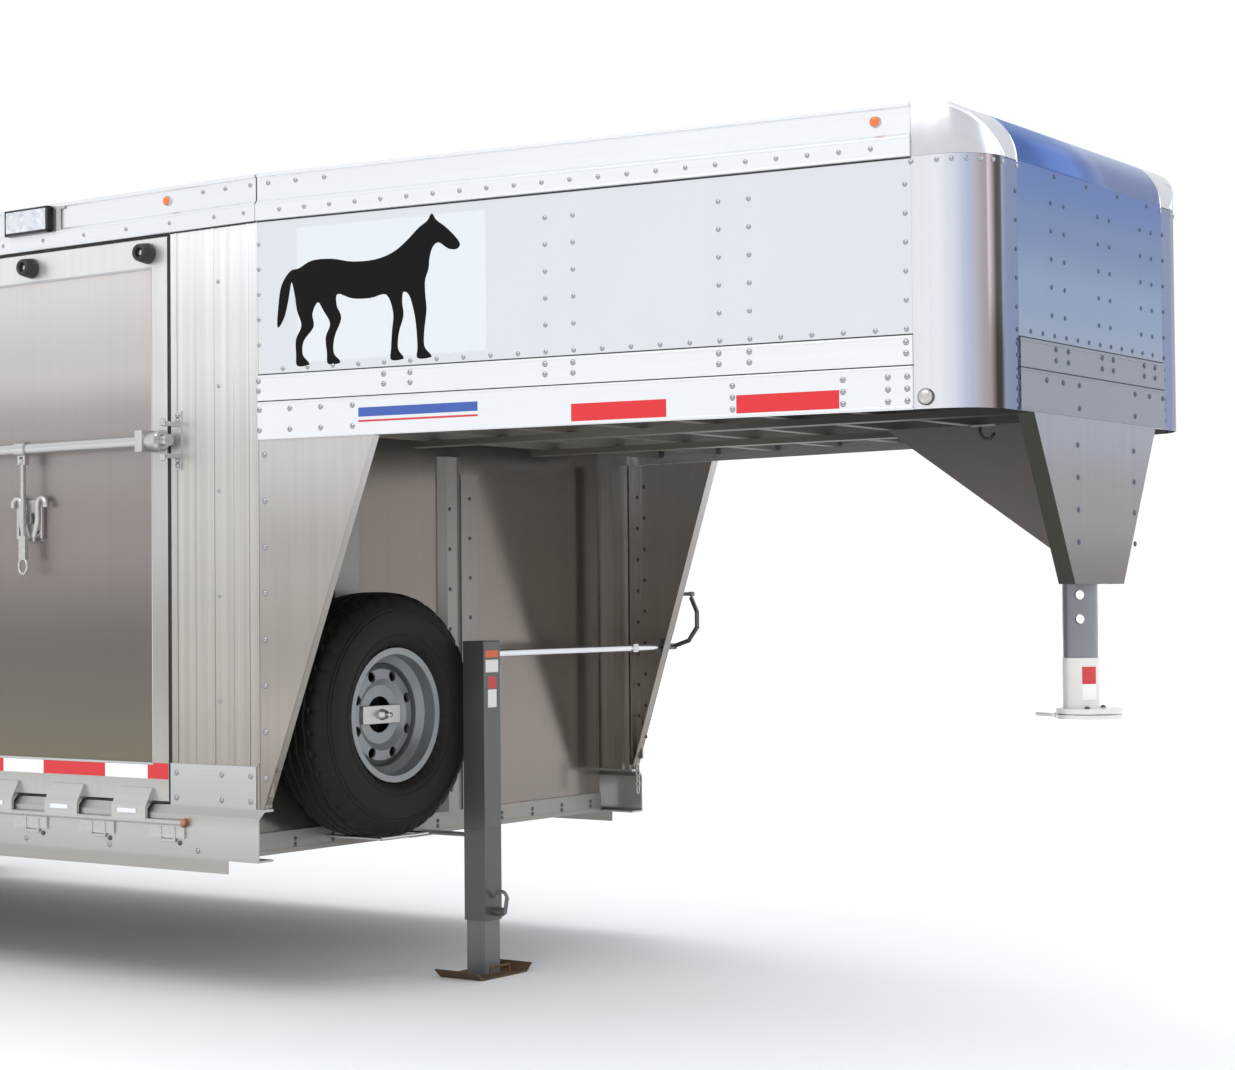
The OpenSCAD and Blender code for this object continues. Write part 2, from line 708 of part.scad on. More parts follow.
module jack_leg() {
  color("#5d6063") place() at_jack() square_tube(leg_w, 6, 6, leg_top);
}

// Foot plate with two turned-up ends and a lifting loop.
module jack_foot() {
  flat = 92;
  end_y = 118;
  section = [[-end_y, 0], [end_y, 0], [end_y + 30, 26], [end_y + 26, 30], [end_y - 3, 6],
    [-end_y + 3, 6], [-end_y - 26, 30], [-end_y - 30, 26]];
  color("#6b5a45") place() at_jack() {
    slab_yz(section, -flat, flat);
    rod([leg_w / 2 + 30, -50, 6], [leg_w / 2 + 30, -50, 34], 5);
    rod([leg_w / 2 + 30, -50, 34], [leg_w / 2 + 30, 50, 34], 5);
    rod([leg_w / 2 + 30, 50, 34], [leg_w / 2 + 30, 50, 6], 5);
  }
}

// Spring plunger with a curled pull handle.
module drop_pin() {
  x = jack_w / 2;
  z = jack_z0 + 30;
  color("#6b6e71") place() at_jack() {
    translate([x - jack_wall, 0, z]) rotate([0, 90, 0]) cylinder(r = 8, h = 57);
    rod([x + 49, 0, z], [x + 58, 0, z + 48], 7);
    translate([x + 34, 0, z + 44]) rotate([90, 0, 0]) rotate_extrude(angle = 180)
      translate([24, 0]) circle(r = 6, $fn = 24);
  }
}

// Cross shaft with the crank arm outside the left wing.
module jack_shaft() {
  arm = [[jack_x, crank_y, shaft_z], [jack_x + 70, crank_y, shaft_z + 22],
    [jack_x + 108, crank_y, shaft_z + 72], [jack_x + 108, crank_y, shaft_z + 130],
    [jack_x + 84, crank_y, shaft_z + 180]];
  color("#5f6266") place() {
    translate([jack_x, -jack_y - 20, shaft_z]) rotate([-90, 0, 0])
      cylinder(r = shaft_r, h = crank_y + jack_y + 30);
    for (i = [0:3]) {
      lap = 4 * (arm[i + 1] - arm[i]) / norm(arm[i + 1] - arm[i]);
      rod(arm[i] - lap, arm[i + 1] + lap, 9 - 0.2 * i);
    }
    translate(arm[4] - [0, 0, 6]) cylinder(r = 5, h = 32);
  }
}

// Folding grip, shown folded back along the wing.
module crank_grip() {
  tip = [jack_x + 84, crank_y, shaft_z + 180];
  color("#5f6266") place() difference() {
    union() {
      translate(tip + [0, 0, 9 + slip]) cylinder(r = 12, h = 16);
      rod(tip + [0, 0, 17 + slip], tip + [-135, 0, 17 + slip], 7.5);
    }
    translate(tip) cylinder(r = 5 + run, h = 40);
  }
}

// ---- running gear ---------------------------------------------------------

// Torsion tubes with trailing arms, spindles and mounting brackets.
module axles() {
  tube_w = 76;
  tube_z = floor_z - floor_t - beam_h - 13 - tube_w / 2;
  arm_y = half - 76;
  color("#2c2d2e") place() {
    both_sides() block([wheel_xs[1] - 200, 700, tube_z + tube_w / 2 + slip],
      [wheel_xs[0] + 400, 780, floor_z - floor_t - beam_h - slip]);
    for (x = wheel_xs) one_axle(x, tube_z, tube_w, arm_y);
  }
}

module one_axle(x, tube_z, tube_w, arm_y) {
  tube_block([x + 112, -arm_y, tube_z - tube_w / 2], [x + 188, arm_y, tube_z + tube_w / 2], 1, 8);
  both_sides() {
    slab_xz([[x - 34, tyre_r - 34], [x + 34, tyre_r - 34], [x + 196, tube_z - 34],
      [x + 196, tube_z + 34], [x + 104, tube_z + 34], [x - 34, tyre_r + 30]], arm_y, arm_y + 26);
    translate([x, arm_y + 26, tyre_r]) rotate([-90, 0, 0])
      cylinder(r = spindle_r, h = wheel_y + 34 - arm_y - 26);
  }
}

module fenders() {
  front = wheel_xs[0] + tyre_r + 105;
  back = wheel_xs[1] - tyre_r - 105;
  top = 2 * tyre_r + 74;
  low = shoulder_z + 30;
  outer = [[back - 20, low], [back + 130, top - 20], [back + 160, top], [front - 160, top],
    [front - 130, top - 20], [front + 20, low]];
  inner = [[back - 17, low - 1], [back + 133, top - 22], [back + 162, top - 3],
    [front - 162, top - 3], [front - 133, top - 22], [front + 17, low - 1]];
  skirt = [[back + 4, low - 1], [back + 152, top - 50], [back + 178, top - 34],
    [front - 178, top - 34], [front - 152, top - 50], [front - 4, low - 1]];
  color("#c8cacc") place() both_sides() difference() {
    slab_xz(outer, half + 4 + slip, fender_out);
    slab_xz(inner, half, fender_out - 3);
    slab_xz(skirt, half, fender_out + 1);
  }
}

// ---- rear -----------------------------------------------------------------

module rear_frame() {
  x1 = -box_l + rear_post_t;
  color("#b7babc") place() {
    both_sides() block([-box_l, half - 60, rail_z], [x1, half, roof_z]);
    block([-box_l, -half + 60 + slip, band_z], [x1, half - 60 - slip, roof_z]);
    block([-box_l, -half + 60 + slip, rail_z], [x1, half - 60 - slip, floor_z]);
    for (z = gate_lug_zs) {
      block([gate_hinge[0], half + slip, z - 50], [-box_l + 40, half + 8, z - 16]);
      translate([gate_hinge[0], gate_hinge[1], z - 50]) cylinder(r = 13, h = 34);
      translate([gate_hinge[0], gate_hinge[1], z - 50]) cylinder(r = 6, h = 90);
    }
    block([-box_l, -half - 10, 1300], [-box_l + 44, -half - slip, 1420]);
    block([gate_x0 - 17, -half - 16, 1300], [-box_l + 44, -half - 10 - slip, 1420]);
  }
  color("#b7babc") place() plate_bracket();
}

// Number plate bracket with two holes, on the sill's rear face.
module plate_bracket() {
  difference() {
    block([-box_l - 3, 480, rail_z + 14], [-box_l, 790, rail_z + 120]);
    for (y = [546, 724])
      translate([-box_l - 4, y, rail_z + 95]) rotate([0, 90, 0]) cylinder(r = 3.5, h = 5);
  }
}

module rear_rubbers() {
  color("#222222") place() both_sides()
    block([-box_l - rear_over, 380, rail_z + 10], [-box_l, 460, rail_z + 130]);
}

// Amber and red clearance lamps, and the tail lamps on the rear posts.
module lamps() {
  lamp_z = band_z + 103;
  color("#c8641e") place() {
    both_sides() {
      translate([-392, half + 2, lamp_z]) rotate([-90, 0, 0]) cylinder(r = 14, h = 12);
      translate([-box_l / 2, half + 2, lamp_z]) rotate([-90, 0, 0]) cylinder(r = 14, h = 12);
      left_nose() translate([seam_s - 100, 2, lamp_z]) rotate([-90, 0, 0]) cylinder(r = 14, h = 12);
      left_nose() translate([seam_s + 36, 0, nose_z + 30]) rotate([-90, 0, 0])
        cylinder(r = 26, h = 16);
    }
    for (y = [-240, 0, 240])
      translate([-box_l - 14, y, lamp_z]) rotate([0, 90, 0]) cylinder(r = 14, h = 14);
    both_sides() block([-box_l - 18, half - 170, rail_z + 24], [-box_l, half - 82 + 10, rail_z + 124]);
  }
}

module load_light() {
  x = (ramp_x0 + ramp_x1) / 2;
  color("#d7dadd") place()
    block([x - 112, -half - 32, band_z + 54], [x + 104, -half - 8, band_z + 141]);
}

// ---- side ramp ------------------------------------------------------------

module ramp_panel() {
  color("#b3aea6") place()
    tube_block([ramp_x0 + 62, ramp_y + 6, ramp_z0 + 122],
      [ramp_x1 - 72, ramp_y + ramp_t - 4, ramp_z1 - 94], 2, 3);
}

// Perimeter extrusions of the ramp with the handle holder.
module ramp_frame() {
  xm = (ramp_x0 + ramp_x1) / 2;
  color("#c9cac8") place() {
    block([ramp_x0, ramp_y, ramp_z0], [ramp_x0 + 62 - slip, ramp_y + ramp_t, ramp_z1]);
    block([ramp_x1 - 72 + slip, ramp_y, ramp_z0], [ramp_x1, ramp_y + ramp_t, ramp_z1]);
    block([ramp_x0 + 62, ramp_y, ramp_z0], [ramp_x1 - 72, ramp_y + ramp_t, ramp_z0 + 122 - slip]);
    block([ramp_x0 + 62, ramp_y, ramp_z1 - 94 + slip], [ramp_x1 - 72, ramp_y + ramp_t, ramp_z1]);
    for (x = [ramp_x0 + 40, ramp_x1 - 60]) difference() {
      block([x - 16, cam_y - cam_r - 10, cam_z - 34], [x + 16, ramp_y, cam_z + 34]);
      translate([x, cam_y, cam_z]) rotate([0, 90, 0]) cylinder(r = cam_r + run, h = 40, center = true);
    }
    block([xm - 70, ramp_y + 1, cam_z - 310], [xm + 50, ramp_y + 6, cam_z - 170]);
    block([xm - 26, ramp_y - 26, cam_z - 250], [xm - 18, ramp_y + 1, cam_z - 214]);
    block([xm + 12, ramp_y - 26, cam_z - 250], [xm + 20, ramp_y + 1, cam_z - 214]);
  }
}

// Moving hinge leaves and barrels along the ramp's foot.
module ramp_hinge() {
  leaf = [[ramp_y, ramp_z0 + 40], [ramp_y - 6, ramp_z0 + 40], [hinge_y - 6, hinge_z + 44],
    [hinge_y - 6, hinge_z], [hinge_y, hinge_z], [hinge_y + 4, hinge_z + 5],
    [hinge_y + 4, hinge_z + 38], [ramp_y, ramp_z0 + 2]];
  color("#d2d2ce") place() for (i = [0:hinge_n - 1]) difference() {
    x = ramp_x0 + i * hinge_step - hinge_shift;
    union() {
      slab_yz(leaf, x + hinge_step / 2 + 2, x + hinge_step - 2);
      translate([x + hinge_step / 2 + 2, hinge_y, hinge_z]) rotate([0, 90, 0])
        cylinder(r = hinge_r, h = hinge_step / 2 - 4);
    }
    translate([x, hinge_y, hinge_z]) rotate([0, 90, 0]) cylinder(r = 5 + run, h = hinge_step + 1);
  }
}

// Fixed leaves on the right rail, their barrels and the long hinge pin.
module hinge_base() {
  face = -half - rail_out;
  leaf = [[face, hinge_z - 50], [face, hinge_z], [hinge_y, hinge_z], [face - 6, hinge_z - 12],
    [face - 6, hinge_z - 50]];
  color("#c9c9c5") place() {
    for (i = [0:hinge_n]) {
      x = ramp_x0 + i * hinge_step - hinge_shift - 2 + slip;
      reach = i < hinge_n ? hinge_step / 2 + 4 - 2 * slip : hinge_shift + 97;
      slab_yz(leaf, x, x + reach);
      rod([x, hinge_y, hinge_z], [x + reach, hinge_y, hinge_z], hinge_r);
    }
    rod([ramp_x0 - 80, hinge_y, hinge_z], [ramp_x1 + 103, hinge_y, hinge_z], 5);
  }
}

module ramp_bumpers() {
  xm = (ramp_x0 + ramp_x1) / 2;
  color("#191919") place() for (dx = [-558, 0, 558])
    translate([xm + dx, ramp_y, ramp_z1 - 48]) rotate([90, 0, 0]) difference() {
      cylinder(r1 = 33, r2 = 28, h = 50);
      translate([0, 0, 30]) cylinder(r = 14, h = 21);
    }
}

// Lock bar across the ramp with a cam at each end and a clevis for its handle.
module cam_bar() {
  xm = (ramp_x0 + ramp_x1) / 2;
  color("#c2c2be") place() difference() {
    union() {
      rod([ramp_x0 - 52, cam_y, cam_z], [ramp_x1 + 52, cam_y, cam_z], cam_r);
      for (x = [ramp_x0 - 26, ramp_x1 + 10]) {
        rod([x, cam_y, cam_z], [x + 16, cam_y, cam_z], cam_r + 9);
        block([x, cam_y - cam_r - 24, cam_z - 12], [x + 16, cam_y, cam_z + 12]);
      }
      rod([xm - 24, cam_y, cam_z], [xm + 24, cam_y, cam_z], cam_r + 6);
      block([xm - 18, cam_y - 9, cam_z - cam_r - 34], [xm + 18, cam_y + 9, cam_z]);
    }
    block([xm - 8, cam_y - 10, cam_z - cam_r - 35], [xm + 8, cam_y + 10, cam_z - cam_r - 7]);
    rod([xm - 19, cam_y, cam_z - cam_r - 22], [xm + 19, cam_y, cam_z - cam_r - 22], 6 + run);
  }
}

// Handle that hangs in the clevis, with its pin.
module cam_handle() {
  xm = (ramp_x0 + ramp_x1) / 2;
  top = cam_z - cam_r - 22;
  color("#bdbdb8") place() {
    rod([xm - 18, cam_y, top], [xm + 18, cam_y, top], 6);
    rod([xm - 7, cam_y, top], [xm + 7, cam_y, top], 11);
    block([xm - 7, cam_y - 6, top - 250], [xm + 7, cam_y + 6, top]);
    block([xm - 16, cam_y - 7, top - 330], [xm + 16, cam_y + 7, top - 250]);
  }
}

// ---- rear gate --------------------------------------------------------------

// Full width gate: perimeter tubes, fixed left half sheet, slider tracks, hinges.
module gate_frame() {
  hw = gate_w / 2;
  color("#c3c6c8") place() {
    difference() {
      block([gate_x0, -hw, gate_z0], [gate_x, hw, gate_z1]);
      block([gate_x0 - eps, -hw + 52, gate_z0 + 52], [gate_x + eps, hw - 52, gate_z1 - 52]);
    }
    block([gate_x0, -24, gate_z0 + 52], [gate_x, 24, gate_z1 - 52]);
    block([gate_x - 12, 24, gate_z0 + 52], [gate_x - 6, hw - 52, gate_z1 - 52]);
    for (z = [gate_z0 + 40, gate_z1 - 52])
      block([gate_x, -half + 90, z], [gate_x + 4, half - 90, z + 12]);
    for (z = gate_lug_zs) difference() {
      union() {
        translate([gate_hinge[0], gate_hinge[1], z - 15]) cylinder(r = 13, h = 34);
        block([gate_hinge[0] - 6, hw, z - 15], [gate_hinge[0] + 6, gate_hinge[1], z + 19]);
      }
      translate([gate_hinge[0], gate_hinge[1], z - 16]) cylinder(r = 6 + run, h = 36);
    }
  }
}

// Half width panel that slides behind the fixed half of the gate.
module gate_slider() {
  color("#b5b7b5") place() {
    tube_block([gate_x + 4 + slip, -half + 96, gate_z0 + 24], [gate_x + 26, 10, gate_z1 - 34], 2, 3);
    block([gate_x - 30, -half + 100, 1300], [gate_x + 4 + slip, -half + 88 + 24, 1330]);
  }
}

// Turning handle at the gate's free edge.
module gate_latch() {
  y = -half + 34;
  color("#a9acae") place() {
    rod([gate_x0 - 30, y, 1360], [gate_x0 - slip, y, 1360], 13);
    block([gate_x0 - 24, y - 11, 1100], [gate_x0 - 14, y + 11, 1360]);
    block([gate_x0 - 10, -half - 8, 1352], [gate_x0 - slip, y, 1368]);
  }
}

// Swinging divider inside the box, hung on the left wall post.
module centre_gate() {
  t = 11;
  z0 = swing_z0;
  z1 = swing_z1;
  y1 = swing_y - 22;
  y0 = -half + wall_t + 60;
  color("#b9bcbe") place() {
    difference() {
      block([swing_x - t, y0, z0], [swing_x + t, y1, z1]);
      for (i = [0:4])
        block([swing_x - t - 1, y0 + 40, z0 + 640 + i * 180], [swing_x + t + 1, y1 - 40, z0 + 780 + i * 180]);
    }
    for (z = swing_barrels) difference() {
      union() {
        translate([swing_x, swing_y, z]) cylinder(r = 10, h = 60);
        block([swing_x - 6, y1 - 1, z], [swing_x + 6, swing_y, z + 60]);
      }
      translate([swing_x, swing_y, z - 1]) cylinder(r = 6 + run, h = 62);
    }
  }
}

floor_sheets();
floor_beams();
bottom_rails();
side_planks();
vent_slats();
hoop_frames();
door_frame();
top_rails();
roof_sheet();
bulkhead_sheet();
bulkhead_frame();
nose_sides();
nose_front();
nose_corners();
corner_caps();
front_cove();
nose_strips();
nose_frame();
neck_plate();
neck_gussets();
coupler_socket();
wings();
spare_rim();
spare_tyre();
spare_carrier();
jack_tube();
jack_mounts();
axles();
fenders();
rear_frame();
rear_rubbers();
lamps();
load_light();
hinge_base();
ramp_panel();
ramp_frame();
ramp_hinge();
ramp_bumpers();
cam_bar();
cam_handle();
gate_frame();
gate_slider();
gate_latch();
centre_gate();
wheel_fr();
wheel_rr();
wheel_fl();
wheel_rl();
tyre_fr();
tyre_rr();
tyre_fl();
tyre_rl();
coupler_tube();
coupler_head();
coupler_latch();
jack_leg();
jack_foot();
drop_pin();
jack_shaft();
crank_grip();
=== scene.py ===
"""Gooseneck livestock trailer: looks, light and camera.
Shapes are given in millimetres from the kink where the nose starts, K metres ahead
of the frame's origin, +X forward, +Y to the trailer's left, +Z up."""
import math

import bpy
import numpy as np
from mathutils import Matrix, Vector
from mathutils.geometry import tessellate_polygon


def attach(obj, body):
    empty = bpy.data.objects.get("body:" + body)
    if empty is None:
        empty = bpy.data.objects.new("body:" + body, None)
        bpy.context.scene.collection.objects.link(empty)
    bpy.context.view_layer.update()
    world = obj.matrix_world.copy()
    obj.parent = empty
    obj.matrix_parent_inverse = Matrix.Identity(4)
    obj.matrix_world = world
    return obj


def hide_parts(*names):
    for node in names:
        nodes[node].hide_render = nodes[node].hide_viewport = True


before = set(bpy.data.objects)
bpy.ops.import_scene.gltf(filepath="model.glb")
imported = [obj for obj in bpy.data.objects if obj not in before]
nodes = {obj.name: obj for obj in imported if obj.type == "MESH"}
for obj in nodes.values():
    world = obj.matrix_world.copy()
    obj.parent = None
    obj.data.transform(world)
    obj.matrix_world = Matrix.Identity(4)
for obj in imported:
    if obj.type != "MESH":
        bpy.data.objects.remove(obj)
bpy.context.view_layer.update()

# The box behind the kink: its length and half its width. The nose ahead of it: how far
# each side turns inwards, its length and the heights of its floor, its band and the roof.
KINK = 2490.5
BOX_L = 7315.0
HALF = 1016.0
TAPER = math.radians(7.7)
NOSE_L, NOSE_Z, BAND_Z, ROOF_Z = 2350.0, 1766.0, 2451.0, 2599.0
# The joints between the lower strips, and the seams and radii of the rolled corners.
STRIP1, STRIP2 = 1886.0, 1967.0
STRIP_OUT = 5.0
SEAM = 2166.7
CORNER_R, FRONT_SEAM = 150.0, 497.0
COVE_R = 148.0
CAP_INNER_X = 2116.2
WHEEL_Y, TYRE_R, NUT_R = 1169.5, 403, 82.5
RAMP_X0, RAMP_X1 = -1677.0, -395.0
RIGHT, LEFT, AHEAD, BACK = (0, -1, 0), (0, 1, 0), (1, 0, 0), (-1, 0, 0)
SIDES = ((-1, "right"), (1, "left"))


# ---- helpers ----------------------------------------------------------------

def place(p):
    return ((p[0] + KINK) / 1000, p[1] / 1000, p[2] / 1000)


def nose_point(s, out, z, side=-1):
    """A point on a nose side: s along it, out from its face; side -1 is the right one."""
    x = s * math.cos(TAPER) + out * math.sin(TAPER)
    y = HALF - s * math.sin(TAPER) + out * math.cos(TAPER)
    return (x, side * y, z)


def nose_facing(side=-1):
    return (math.sin(TAPER), side * math.cos(TAPER), 0)


def add_object(name, mesh, body):
    ob = bpy.data.objects.new(name, mesh)
    bpy.context.scene.collection.objects.link(ob)
    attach(ob, body)
    return ob


def piece(name, points, faces, mats, body="trailer", smooth=False, which=None):
    """A mesh from points in millimetres; mats is one finish or a list with which."""
    mesh = bpy.data.meshes.new(name)
    mesh.from_pydata([place(p) for p in points], [], faces)
    for m in mats if isinstance(mats, list) else [mats]:
        mesh.materials.append(M[m])
    if which is not None:
        mesh.polygons.foreach_set("material_index", which)
    mesh.polygons.foreach_set("use_smooth", [smooth] * len(faces))
    mesh.validate()
    mesh.update()
    return add_object(name, mesh, body)


BOX_FACES = [(0, 3, 2, 1), (4, 5, 6, 7), (0, 1, 5, 4), (1, 2, 6, 5), (2, 3, 7, 6), (3, 0, 4, 7)]


def boxes(name, spans, mats, body="trailer", bevel=0.0, warp=None, which=None):
    """Blocks given by their low and high corners; warp moves each point."""
    pts, faces, idx = [], [], []
    for i, (a, b) in enumerate(spans):
        n = len(pts)
        corners = [(x, y, z) for z in (a[2], b[2])
                   for x, y in ((a[0], a[1]), (b[0], a[1]), (b[0], b[1]), (a[0], b[1]))]
        pts += [warp(c) for c in corners] if warp else corners
        faces += [tuple(n + k for k in f) for f in BOX_FACES]
        idx += [which[i] if which else 0] * 6
    ob = piece(name, pts, faces, mats, body, which=idx)
    if bevel:
        soften(ob, bevel)
    return ob


def beside(side, inner, outer, x0, x1, z0, z1):
    """A block along a side wall, between two distances from the middle."""
    a, b = sorted((side * inner, side * outer))
    return ((x0, a, z0), (x1, b, z1))


def on_nose(side=-1):
    """Warp for boxes given as (along, out, height) on a nose side."""
    return lambda c: nose_point(c[0], c[1], c[2], side)


def soften(ob, width, segments=2, angle=35):
    mod = ob.modifiers.new("edge", "BEVEL")
    mod.width = width / 1000
    mod.segments = segments
    mod.limit_method = "ANGLE"
    mod.angle_limit = math.radians(angle)
    mod.harden_normals = True
    for p in ob.data.polygons:
        p.use_smooth = True


def thicken(ob, thickness=3.0):
    """Gives a sheet its wall, inwards from its face."""
    mod = ob.modifiers.new("thick", "SOLIDIFY")
    mod.thickness = thickness / 1000
    mod.offset = -1


def turns(count):
    """Angles evenly spaced round a full circle."""
    return [2 * math.pi * i / count for i in range(count)]


def ring_frame(d):
    d = Vector(d).normalized()
    a = d.orthogonal().normalized()
    return a, d.cross(a)


def tube(name, path, radius, mats, body="trailer", sides=16, closed=False):
    """A round bar along a path in millimetres; radius may vary along it."""
    pts, faces = [], []
    path = [Vector(p) for p in path]
    n = len(path)
    radii = radius if isinstance(radius, list) else [radius] * n
    a = None
    for i, p in enumerate(path):
        ahead = path[(i + 1) % n] if closed or i < n - 1 else p
        behind = path[i - 1] if closed or i > 0 else p
        d = (ahead - behind).normalized()
        if a is None:
            a = d.orthogonal().normalized()
        a = (a - a.dot(d) * d).normalized()
        b = d.cross(a)
        for k in range(sides):
            t = 2 * math.pi * k / sides
            pts.append(p + radii[i] * (math.cos(t) * a + math.sin(t) * b))
    for i in range(n if closed else n - 1):
        j = (i + 1) % n
        for k in range(sides):
            l = (k + 1) % sides
            faces.append((i * sides + k, i * sides + l, j * sides + l, j * sides + k))
    if not closed:
        faces.append(tuple(range(sides))[::-1])
        faces.append(tuple((n - 1) * sides + k for k in range(sides)))
    return piece(name, pts, faces, mats, body, smooth=True)


def lathe(name, centre, axis, profile, mats, body="trailer", sides=40, which=None):
    """Turns (radius, height) pairs about an axis through a centre."""
    a, b = ring_frame(axis)
    d = Vector(axis).normalized()
    c = Vector(centre)
    pts, faces, idx = [], [], []
    for r, h in profile:
        for k in range(sides):
            t = 2 * math.pi * k / sides
            pts.append(c + d * h + r * (math.cos(t) * a + math.sin(t) * b))
    for i in range(len(profile) - 1):
        for k in range(sides):
            l = (k + 1) % sides
            faces.append((i * sides + k, i * sides + l, (i + 1) * sides + l, (i + 1) * sides + k))
            idx.append(which[i] if which else 0)
    return piece(name, pts, faces, mats, body, smooth=True, which=idx)


# ---- materials --------------------------------------------------------------

def tone(r, g, b):
    """A colour given as it looks on screen, 0 to 255, turned into linear light."""
    return tuple(((v / 255 + 0.055) / 1.055) ** 2.4 if v > 10 else v / 255 / 12.92
                 for v in (r, g, b)) + (1.0,)


def new_material(name, colour, metallic=0.0, rough=0.5, coat=0.0, spec=0.5, clear=0.0):
    m = bpy.data.materials.new(name)
    m.use_nodes = True
    s = m.node_tree.nodes["Principled BSDF"].inputs
    s["Base Color"].default_value = colour
    s["Metallic"].default_value = metallic
    s["Roughness"].default_value = rough
    s["Coat Weight"].default_value = coat
    s["Specular IOR Level"].default_value = spec
    s["Transmission Weight"].default_value = clear
    return m


def socket(sockets, name):
    """The socket of that name or number that is in use."""
    if isinstance(name, int):
        return sockets[name]
    return next(s for s in sockets if s.name == name and s.enabled)


def new_node(tree, kind, feeds=(), **settings):
    """A node with its settings, and with its inputs fed by a socket or set to a value."""
    node = tree.nodes.new(kind)
    for key, value in settings.items():
        setattr(node, key, value)
    for name, source in feeds:
        if isinstance(source, bpy.types.NodeSocket):
            tree.links.new(source, socket(node.inputs, name))
        else:
            socket(node.inputs, name).default_value = source
    return node


def spread(tree, value, low, high, to_low=0.0, to_high=1.0):
    """Maps a value's span to another one."""
    return new_node(tree, "ShaderNodeMapRange", [
        ("Value", value), ("From Min", low), ("From Max", high), ("To Min", to_low),
        ("To Max", to_high)]).outputs["Result"]


def colour_stops(tree, value, stops, interpolation="EASE"):
    """Colours along a value; stops is [(value, colour)]."""
    low, high = stops[0][0], stops[-1][0]
    node = new_node(tree, "ShaderNodeValToRGB", [("Fac", spread(tree, value, low, high))])
    node.color_ramp.interpolation = interpolation
    elements = node.color_ramp.elements
    while len(elements) < len(stops):
        elements.new(0.5)
    for element, (v, colour) in zip(elements, stops):
        element.position = (v - low) / (high - low)
        element.color = colour
    return node.outputs["Color"]


def vector_math(tree, operation, feeds, result="Vector"):
    return new_node(tree, "ShaderNodeVectorMath", feeds, operation=operation).outputs[result]


def noise(tree, where, scale, detail):
    return new_node(tree, "ShaderNodeTexNoise", [
        ("Vector", where), ("Scale", scale), ("Detail", detail)]).outputs["Fac"]


def surface(name, colour, metallic=0.9, rough=0.35, grain=(1, 1, 1), amount=0.05,
            rough_amount=0.0, ramp=None, along=(0, 0, 1), bump=0.0, patch=0.0, coat=0.0,
            spec=0.5, side_shade=None, painted_reflection=None):
    """Metal or plastic with stretched grain; ramp is [(metres, colour)] along a direction, which
    mostly carries painted reflection and shade, the side colour paints shade on faces turned to
    either side, and a named colour attribute can carry painted reflections."""
    m = new_material(name, colour, metallic, rough, coat, spec)
    tree = m.node_tree
    shader = tree.nodes["Principled BSDF"]
    where = tree.nodes.new("ShaderNodeTexCoord").outputs["Object"]
    base = colour[:3]
    if ramp:
        reach = vector_math(tree, "DOT_PRODUCT", [(0, where), (1, along)], "Value")
        base = colour_stops(tree, reach, ramp)
    # A colour attribute of painted reflections can replace the base colour.
    if painted_reflection:
        base = new_node(tree, "ShaderNodeAttribute", attribute_name=painted_reflection).outputs["Color"]
    # Faces turned to either side take the side colour: painted shade.
    if side_shade:
        normal = tree.nodes.new("ShaderNodeNewGeometry").outputs["Normal"]
        sideways = new_node(tree, "ShaderNodeSeparateXYZ", [(0, normal)]).outputs["Y"]
        size = new_node(tree, "ShaderNodeMath", [(0, sideways)], operation="ABSOLUTE")
        turned = spread(tree, size.outputs["Value"], 0.25, 0.6)
        pick = new_node(tree, "ShaderNodeMix", [("Factor", turned), ("A", base), ("B", side_shade)],
                        data_type="RGBA")
        base = socket(pick.outputs, "Result")
    shade = noise(tree, vector_math(tree, "MULTIPLY", [(0, where), (1, grain)]), 1.0, 5.0)
    if patch:
        both = new_node(tree, "ShaderNodeMix", [
            ("Factor", patch), ("A", shade), ("B", noise(tree, where, 2.2, 3.0))],
            data_type="FLOAT")
        shade = socket(both.outputs, "Result")
    gain = spread(tree, shade, 0.25, 0.75, 1 - amount, 1 + amount)
    tinted = vector_math(tree, "SCALE", [(0, base), ("Scale", gain)])
    tree.links.new(tinted, shader.inputs["Base Color"])
    if rough_amount:
        vary = spread(tree, shade, 0, 1, max(0.03, rough - rough_amount), rough + rough_amount)
        tree.links.new(vary, shader.inputs["Roughness"])
    if bump:
        relief = new_node(tree, "ShaderNodeBump", [
            ("Strength", 0.4), ("Distance", bump / 1000), ("Height", shade)])
        tree.links.new(relief.outputs["Normal"], shader.inputs["Normal"])
    return m


